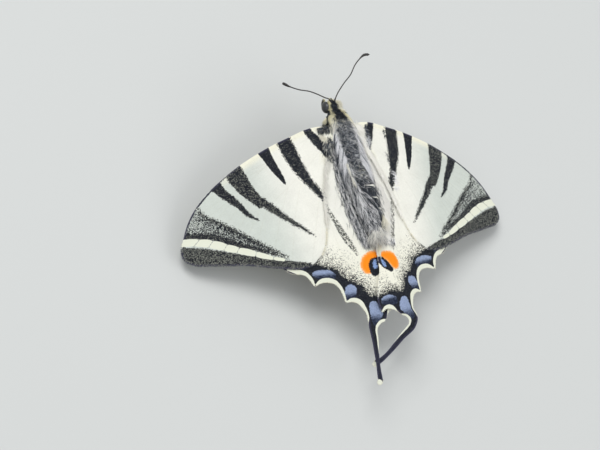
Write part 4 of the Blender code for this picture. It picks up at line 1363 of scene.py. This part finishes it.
def makeLeg(side, which):
    hip, knee, ankle, ground, toe = np.array(legSet[which]) * (side, 1, 1)
    coxa = np.array([hip + (-0.3 * side, 0, 0.9), hip + (-0.1 * side, 0, 0.3), hip])
    parts = [tubePart(alongPath(coxa, np.linspace(0, 1, 9))[0], np.linspace(0.55, 0.3, 9), 0.55, 12)]
    share = np.linspace(0, 1, 26)
    t = share[:, None]
    thigh = hip + (knee - hip) * t + np.array(legSet["thighArch"]) * np.sin(np.pi * t)
    swell = legSet["thigh"] * (0.62 + 0.38 * np.sin(np.pi * np.clip(share * 1.15, 0, 1)) ** 0.7)
    parts.append(tubePart(thigh, swell, np.interp(share, (0, 0.7, 1), (0.75, 0.6, 0.25)), 14))
    shank = knee + (ankle - knee) * t + np.array((0.12 * side, 0, 0)) * np.sin(np.pi * t)
    swell = legSet["shank"] * (0.9 + 0.12 * np.cos(share * 7))
    swell = swell * np.interp(share, (0, 0.08, 0.9, 1), (1.25, 1, 1, 1.2))
    parts.append(tubePart(shank, swell, np.interp(share, (0, 0.3, 1), (0.3, 0.55, 0.45)), 12))
    sole = floorLevel + legSet["toe"]
    line, reach = roundedPath(np.array([ankle, (*ground[:2], sole + 0.02), (*toe[:2], sole)]), 0.9, 96)
    line[:, 2] = np.maximum(line[:, 2], sole)
    joints = np.array((0, 0.42, 0.6, 0.74, 0.86, 1.0)) * reach[-1]
    radii = np.full(len(line), legSet["toe"])
    for start, stop in zip(joints, joints[1:]):
        beat = np.clip((reach - start) / (stop - start), 0, 1)
        on = (reach >= start) & (reach <= stop)
        radii[on] *= (0.72 + 0.3 * smoothStep(0.0, 0.85, beat) - 0.3 * smoothStep(0.9, 1.0, beat))[on]
    parts.append(tubePart(line, radii, 0.12 + 0.25 * smoothStep(0.5, 0.2, reach / reach[-1]), 10))
    headings = unit(np.gradient(line, axis=0))
    claws = []
    for lean in (1, -1):  # spurs at the end of the shank, then claws at the toe
        spur = unit(ankle - knee) * 0.8 + np.array((0, lean * 0.35, 0))
        claws.append(spike(ankle + spur * np.linspace(0, 1, 6)[:, None] * 0.9, 0.07, 0.015, 0.1, 8))
        ahead = headings[-1] * (1, 1, 0)
        across = np.cross(ahead, (0, 0, 1)) * lean
        s = np.linspace(0, 1, 10)[:, None]
        curve = line[-1] + ahead * s * legSet["claw"] + across * s * legSet["claw"] * 0.45
        curve = curve + (0, 0, 0.1) * np.sin(np.pi * s)
        curve[:, 2] = np.maximum(curve[:, 2] - 0.1 * s[:, 0] ** 2, floorLevel + 0.02)
        claws.append(spike(curve, 0.06, 0.012, 0.35, 8))
    for spot in dice.integers(6, len(line) - 2, legSet["spines"]):  # short spines under the toe joints
        turn = dice.uniform(-1, 1)
        out = unit(np.cross(headings[spot], (0, 0, 1)) * turn + headings[spot] * 0.8)
        start = line[spot] + out * 0.07
        claws.append(spike(start + out * np.linspace(0, 0.22, 4)[:, None], 0.022, 0.006, 0.2, 5))
    name = f"{which}_leg_{sideWords[side]}"
    makePiece(f"{name}_limb", parts, legFinish, (name,))
    count = legSet["hairs"]
    share = dice.uniform(0, 0.85, count)
    heading = np.broadcast_to(unit(knee - hip), (count, 3))
    turn = dice.uniform(0, 2 * np.pi, count)
    normals = roundHeading(heading, (0, 0, 1), turn)
    roots = hip + (knee - hip) * share[:, None] + legSet["thighArch"] * np.sin(np.pi * share)[:, None]
    lengths = dice.uniform(0.25, 0.6, count)
    shade = np.where(normals[:, 2] > 0.3, 0.3, 0.85) + dice.normal(0, 0.07, count)
    places = 0.05 + 0.9 * asRows(share, turn / 6.2832)
    return claws, (roots + normals * 0.2, normals, heading, lengths, shade, places)


for side in (1, -1):
    makeEye(side)
    makeFeeler(side)
    makePalp(side)
makeTongue()
clawParts, legHairs = [], []
for side in (1, -1):
    for which in ("fore", "mid", "hind"):
        claws, hair = makeLeg(side, which)
        clawParts += claws
        legHairs.append(hair)
makePiece("claws_and_spurs", clawParts, hornFinish)
roots, normals, heading, lengths, shade, places = (np.concatenate(part) for part in zip(*legHairs))
comb("leg_hair", roots, normals, heading, lengths, 0.045, 0.45, 0.15, 0.2, 0.2, shade, 0.7, places, "leg")
print("eyes, feelers, palps, tongue and legs made")


# Hair on the wings: roots scattered along a line of flat places with half widths
def stripRoots(count, line):
    middle = alongPath(line, dice.random(count))[0]
    across = dice.normal(0, 0.55, count) * middle[:, 2]
    return middle[:, :2] + asRows(across, dice.normal(0, 0.4, count))


# Strands that follow the wing's own surface; way is their heading in the wing's flat drawing.
# A pair as the shade is a tone and its spread.
def wingStrands(name, side, hind, flat, way, lengths, width, height, shade, warm, rings=4, lockShade=0.05,
                gather=0.3):
    count = len(flat)
    lengths = dice.uniform(*lengths, count)
    if isinstance(shade, tuple):
        shade = shade[0] + dice.normal(0, shade[1], count)
    chosen = dice.permutation(count)[:count // 7]
    lock = nearestOf(np.column_stack([flat * (1, 0.4), 0 * flat[:, 0]]), chosen)
    way = np.broadcast_to(way, (count, 2)) + dice.normal(0, 0.1, (count, 2))
    way = unit(way + dice.normal(0, 0.12, (count, 2))[lock])
    bend = dice.normal(0, 0.16, (count, 1))
    t = np.linspace(0, 1, rings + 1)[None, :, None]
    across = asRows(way[:, 1], -way[:, 0])
    run = lengths[:, None, None] * (way[:, None] * t + across[:, None] * bend[:, None] * t ** 2)
    tracks = flat[:, None] + run + (flat[lock] - flat)[:, None] * (t ** 0.5) * gather
    spots, ups = (grid.reshape(count, rings + 1, 3)
                  for grid in wingSpot(side, tracks.reshape(-1, 2), hind)[:2])
    bow = np.sin(np.pi * np.clip(t * 0.9, 0, 1)) ** 0.8
    rise = 0.04 + height * dice.uniform(0.4, 1.2, (count, 1, 1)) * bow
    shade = shade + dice.normal(0, lockShade, count)[lock]
    growTufts(name, spots + ups * rise, width * dice.uniform(0.75, 1.25, count), ups[:, 0], shade, warm,
              wingPlace(flat))


def coatWings():
    # the right wings' smooth pale fuzz, widest at the middle of the body
    count = coatSet["fuzz"]
    flat = stripRoots(count, ((0.7, 1.0, 0.7), (1.4, 4.5, 1.0), (2.2, 8.0, 1.3), (3.1, 12.0, 1.5),
                              (3.1, 16.0, 1.5), (1.9, 20.0, 1.3), (0.5, 23.0, 1.1)))
    line = np.interp(flat[:, 1], (0, 3.8, 9.9, 13, 17.8, 21), (0.5, 0.9, 2.2, 2.6, 1.7, 0.2))
    shade = 1.04 - 0.2 * smoothStep(0.9, -0.2, flat[:, 0] - line) + dice.normal(0, 0.03, count)
    wingStrands("fuzz_right", -1, True, flat, (0.28, 1.0), (0.8, 1.7), 0.075, 0.14, shade, 0.25)
    # dark hair under it, beside the abdomen
    flat = stripRoots(2400, ((0.1, 1.5, 0.5), (0.4, 5.0, 0.7), (0.9, 9.9, 1.1), (1.2, 13.0, 1.3),
                             (0.6, 17.5, 1.1), (-0.2, 20.5, 0.8)))
    wingStrands("underfur_right", -1, True, flat, (0.12, 1.0), (0.8, 1.7), 0.09, 0.2,
                streaked(2400, 0.2, 0.42, 0.09, 0.05), 0.1, lockShade=0.1)
    # pale hair over the right forewing's root and inner edge, straying over the dark bands
    flat = stripRoots(2600, ((1.2, -1.3, 0.7), (1.6, 0.0, 0.7), (1.6, 2.0, 0.65), (2.0, 4.0, 0.5),
                             (3.0, 6.0, 0.5), (4.1, 9.0, 0.45), (5.0, 12.5, 0.4), (5.7, 15.5, 0.3)))
    wingStrands("edge_fuzz_right", -1, False, flat, (0.28, 1.0), (0.7, 1.5), 0.065, 0.12, (1.04, 0.04), 0.3)
    # dark hair that blurs the inner edges of its first two bands
    lines = ((420, ((3.6, -1.6, 0.3), (3.3, -0.8, 0.4), (2.9, 0.4, 0.4), (2.5, 1.2, 0.3))),
             (300, ((8.1, -0.5, 0.2), (7.7, 2.0, 0.3), (7.2, 5.0, 0.35), (6.8, 7.6, 0.35))))
    flat = np.vstack([stripRoots(*line) for line in lines])
    flat[:, 1] = np.maximum(flat[:, 1], -1.6)
    wingStrands("band_hair_right", -1, False, flat, (-0.5, 1.0), (0.4, 0.9), 0.08, 0.08, (0.06, 0.04), 0.2)
    # pale hair that runs off the forewings' inner edges on to the hindwings
    for side, count in ((-1, 900), (1, 500)):
        flat = stripRoots(count, ((1.5, 3.0, 0.3), (2.9, 5.6, 0.3), (4.1, 8.8, 0.3), (5.3, 12.5, 0.3),
                                  (5.9, 15.5, 0.2), (6.5, 18.0, 0.1)))
        wingStrands(f"seam_fuzz_{sideWords[side]}", side, False, flat, (-0.45, 1.0), (0.8, 1.6), 0.06, 0.1,
                    (1.02, 0.04), 0.3)
    # pale strands combed outwards across the right forewing's bands, mixed with dark at its root
    pale, mixed = 260, 200
    flat = np.vstack([stripRoots(pale, ((6.6, 8.6, 0.5), (7.1, 10.4, 0.6), (6.6, 12.4, 0.5))),
                      stripRoots(mixed, ((2.9, 0.9, 0.35), (2.4, 2.0, 0.4), (1.9, 3.2, 0.35)))])
    tone = np.where(dice.random(pale + mixed) < 0.5, 0.25, 0.85)
    tone[:pale] = 0.97
    wingStrands("comb_right", -1, False, flat, (1.0, 0.35), (0.7, 1.5), 0.07, 0.12, (tone, 0.05), 0.1,
                gather=0.5)
    # dark hair in front of the right eyespot
    count = 420
    flat = asRows(dice.uniform(0.2, 3.4, count), dice.uniform(22.2, 23.6, count))
    shade = np.where(np.sin(flat[:, 0] * 9) + dice.normal(0, 0.5, count) > 0, 0.15, 0.9)
    wingStrands("lashes_right", -1, True, flat, (-0.1, 1.0), (0.9, 1.9), 0.07, 0.1, shade, 0.1, gather=0.6)
    # the left wing's longer lilac-grey hair, streaked dark
    count = coatSet["fuzz"]
    flat = stripRoots(count, ((0.4, 2.6, 0.6), (0.7, 8.0, 0.9), (0.8, 12.5, 1.0), (0.6, 17.0, 1.0),
                              (0.1, 20.5, 0.8), (-0.3, 22.5, 0.7)))
    streak = np.sin(flat[:, 0] * 9.0 + 0.5 * flat[:, 1]) + dice.normal(0, 0.6, count)
    shade = np.where(streak > -0.15, 0.1, 0.88) + dice.normal(0, 0.08, count)
    wingStrands("fuzz_left", 1, True, flat, (-0.02, 1.0), (1.0, 2.6), 0.075, 0.16, shade, 0.15, lockShade=0.1,
                gather=0.7)
    # the forewing roots: mixed dark and cream on the left, white on the right
    flat = stripRoots(620, ((0.2, -0.9, 0.4), (1.2, -1.2, 0.5), (1.9, -1.3, 0.35), (2.5, -1.45, 0.12)))
    flat[:, 1] = np.maximum(flat[:, 1] - 0.1, -1.7)
    wingStrands("root_dark_left", 1, False, flat, (0.35, 1.0), (0.4, 0.95), 0.085, 0.36,
                streaked(620, 0.16, 0.5, 0.05, 0.05), 0.6, gather=0.2)
    flat = stripRoots(1100, ((0.8, 1.0, 0.5), (1.7, 2.0, 0.6), (1.8, 3.2, 0.65), (1.5, 4.9, 0.4)))
    wingStrands("root_hair_left", 1, False, flat, (0.3, 1.0), (0.5, 1.2), 0.08, 0.16,
                streaked(1100, 0.8, 0.08, 0.7, 0.06), 0.5, lockShade=0.12, gather=0.6)
    flat = stripRoots(220, ((2.5, 0.1, 0.25), (2.2, 0.4, 0.3), (1.8, 0.7, 0.3), (1.3, 0.9, 0.25)))
    wingStrands("root_tuft_left", 1, False, flat, (0.15, 1.0), (0.4, 0.8), 0.08, 0.25, (1.0, 0.08), 0.5,
                gather=0.5)
    flat = stripRoots(700, ((0.4, -1.2, 0.5), (1.2, -1.0, 0.6), (1.9, -0.4, 0.5)))
    wingStrands("root_hair_right", -1, False, flat, (0.3, 1.0), (0.6, 1.3), 0.08, 0.16, (0.98, 0.05), 0.3,
                gather=0.4)
    # pale hair along the inner margins of the hindwings behind the body, and one long lock from its right
    flat = stripRoots(420, ((-0.5, 22.0, 0.35), (-1.0, 23.3, 0.35), (-1.4, 24.3, 0.25), (-1.75, 25.3, 0.1)))
    wingStrands("midline_hair", -1, True, flat, (-0.42, 1.0), (0.7, 1.5), 0.07, 0.2, (1.05, 0.06), 0.55,
                gather=0.4)
    flat = np.array((1.8, 18.0)) + dice.normal(0, 0.12, (60, 2)) * (1, 2.5)
    wingStrands("stray_lock", -1, True, flat, (-0.55, 1.0), (3.4, 5.8), 0.055, 1.3, (0.95, 0.06), 0.5,
                rings=7, gather=0.5)


# Long hair in locks over the abdomen: a fan from its left shoulder, locks along its left side, and short
# ones over its rear
veilSet = {
    # locks, hairs in each, then the ranges of: start, lean from the top, turn, length, share of dark locks
    "fan": (330, 3, (12.6, 17.0), (29, 62), (-0.54, 0.22), (2.4, 6.0), 0.4),
    "side": (420, 3, (7.0, 21.0), (42, 98), (-0.22, 0.12), (2.0, 4.8), 0.5),
    "rear": (150, 3, (17.2, 21.4), (-22, 48), (-0.35, 0.35), (1.0, 2.6), 0.4),
}


def coatVeil():
    rings = 6
    t = np.linspace(0, 1, rings + 1)[None]
    for word, (locks, each, starts, leans, turns, lengths, darkShare) in veilSet.items():
        lock = np.repeat(np.arange(locks), each)
        count = len(lock)
        share = dice.random(locks)
        start = dice.uniform(*starts, locks)[lock] + dice.normal(0, 0.04, count)
        lean = np.radians(leans[0] + (leans[1] - leans[0]) * share)[lock] + dice.normal(0, 0.014, count)
        drift = turns[0] + (turns[1] - turns[0]) * np.clip(share + dice.normal(0, 0.2, locks), -0.2, 1.2)
        drift = drift[lock] + dice.normal(0, 0.03, count)
        bend = dice.normal(0, 0.25, locks)[lock]
        reach = dice.uniform(*lengths, locks)[lock] * dice.uniform(0.7, 1.1, count)
        run = reach[:, None] * t
        heading = drift[:, None] + bend[:, None] * t
        back = start[:, None] + run * np.cos(heading)
        girth = np.maximum(bodySection(back)[2], 0.9)
        angle = lean[:, None] + run * np.sin(heading) / girth
        rise = dice.uniform(0.12, 0.5, locks)[lock] * dice.uniform(0.7, 1.2, count)
        height = 0.06 + rise[:, None] * np.sin(np.pi * t * 0.88) ** 0.7
        paths = bodyPoint(np.minimum(back, 24.8), angle, height)
        paths = paths + np.maximum(back - 22.4, 0)[..., None] * (0, 0, -0.05)
        dark = (dice.random(locks) < darkShare)[lock]
        shade = np.where(dark, 0.08, 0.86) + dice.normal(0, 0.1, locks)[lock] + dice.normal(0, 0.05, count)
        growTufts(f"veil_{word}", paths, 0.055 * dice.uniform(0.7, 1.3, count), bodyNormal(start, lean),
                  shade, 0.1, coatPlace(start, lean))


# Fringe scales along a wing's margin, with longer hair on its inner edge
def fringe(side, hind):
    loop = (hindNet if hind else foreNet)["loop"]
    closed = np.vstack([loop, loop[:1]])
    whole = reachAlong(closed)[-1]
    count = int(whole * coatSet["fringe"])
    place = np.sort(dice.uniform(0, whole, count))
    flat = resample(closed, place)
    run = unit(resample(closed, place + 0.1) - flat)
    out = asRows(run[:, 1], -run[:, 0])
    u, v = flat.T
    if hind:
        inner = (u < 0.6) & (v < (24.5 if side > 0 else 28.5))
        kept = ((v > 14) & ~((u < -1) & (v < 34))) | inner
        pale = nearestStroke(flat, crescents) < 0.3
    else:
        inner = u < 6
        kept = (v > 0.55 * u - 4.0) & (v > 2.5) & ~((u > 20) & (v < 15))
        pale = False
    spots, normals, outwards, backwards = wingSpot(side, flat, hind)
    shade = np.where(pale, 0.97, 0.06) + dice.normal(0, 0.05, count)
    shade = np.where(inner, 0.9 + dice.normal(0, 0.08, count), shade)
    lengths = coatSet["fringeLength"] * dice.uniform(0.6, 1.1, count)
    if hind:
        lengths = lengths * np.where(inner & (v < 24.5), 1.9, 1.0)
        lengths = lengths * (1 - 0.6 * smoothStep(38, 41, v) * smoothStep(50.5, 49, v))
    else:
        shade = np.where((v > 14.3) & (v < 15.8) & (u > 30), 0.95, shade)
        shade = np.where((u < 9) & (v > 2), 0.97, shade)
        lengths = lengths * np.where((u < 9) & (v > 1), 2.0, 1.0)
    way = outwards * out[:, :1] + backwards * out[:, 1:]
    starts = unit(way + dice.normal(0, 0.16, way.shape))
    ends = unit(starts + np.array((0, 0, -0.12)) + dice.normal(0, 0.1, way.shape))
    t = np.linspace(0, 1, 3)[None, :, None]
    sweep = starts[:, None] * t + 0.5 * (ends - starts)[:, None] * t ** 2
    paths = (spots - way * 0.08)[:, None] + lengths[:, None, None] * sweep
    growTufts(f"fringe_{'hind' if hind else 'fore'}wing_{sideWords[side]}", paths[kept],
              dice.uniform(0.06, 0.1, kept.sum()), normals[kept], shade[kept],
              np.where(inner, 0.3, 0.55)[kept], wingPlace(flat)[kept])


coatWings()
coatVeil()
for side in (1, -1):
    fringe(side, True)
    fringe(side, False)
print("wing hair and fringes made")


# Plain floor, soft light and the camera over the left shoulder of the tail
stageSet = {
    "cameraSpot": (0.212614, 0.131707, 0.381490), "lens": 135.494, "sensor": 36.0, "nearest": 0.01,
    "farthest": 20.0,
    "cameraRight": (-0.8849879, 0.2732410, 0.3770089), "cameraUp": (-0.1168845, -0.9141480, 0.3881642),
    "floorColour": rgb(0.56, 0.57, 0.555), "floorSize": 3.0,
    "skyColour": rgb(0.93, 0.96, 1.0), "skyLight": 0.55,
    # name, place, width in metres, power
    "lights": (("key light", (0.25, -0.35, 0.75), 0.5, 5.0), ("fill light", (-0.45, 0.45, 0.55), 0.6, 2.2)),
}


def makeStage():
    scene = bpy.context.scene
    cameraData = bpy.data.cameras.new("camera")
    cameraData.lens = stageSet["lens"]
    cameraData.sensor_width = stageSet["sensor"]
    cameraData.clip_start, cameraData.clip_end = stageSet["nearest"], stageSet["farthest"]
    camera = bpy.data.objects.new("camera", cameraData)
    right, up = Vector(stageSet["cameraRight"]), Vector(stageSet["cameraUp"])
    turn = Matrix((right, up, right.cross(up))).transposed()
    camera.matrix_world = Matrix.Translation(stageSet["cameraSpot"]) @ turn.to_4x4()
    scene.collection.objects.link(camera)
    scene.camera = camera
    floorMesh = bpy.data.meshes.new("floor")
    work = bmesh.new()
    bmesh.ops.create_grid(work, x_segments=1, y_segments=1, size=stageSet["floorSize"] / 2)
    work.to_mesh(floorMesh)
    work.free()
    floor = bpy.data.objects.new("floor", floorMesh)
    scene.collection.objects.link(floor)
    material, _, shader = newMaterial("pale floor")
    feed(shader, {"Base Color": stageSet["floorColour"], "Roughness": 0.9})
    floorMesh.materials.append(material)
    for name, spot, size, power in stageSet["lights"]:
        lightData = bpy.data.lights.new(name, "AREA")
        lightData.size = size
        lightData.energy = power
        light = bpy.data.objects.new(name, lightData)
        light.location = spot
        light.rotation_mode = "QUATERNION"
        light.rotation_quaternion = (-Vector(spot)).to_track_quat("-Z", "Y")
        scene.collection.objects.link(light)
    world = bpy.data.worlds.new("soft sky")
    world.use_nodes = True
    sky = world.node_tree.nodes["Background"]
    feed(sky, {"Color": stageSet["skyColour"], "Strength": stageSet["skyLight"]})
    scene.world = world
    scene.view_settings.view_transform = "Standard"


makeStage()
print("stage made")
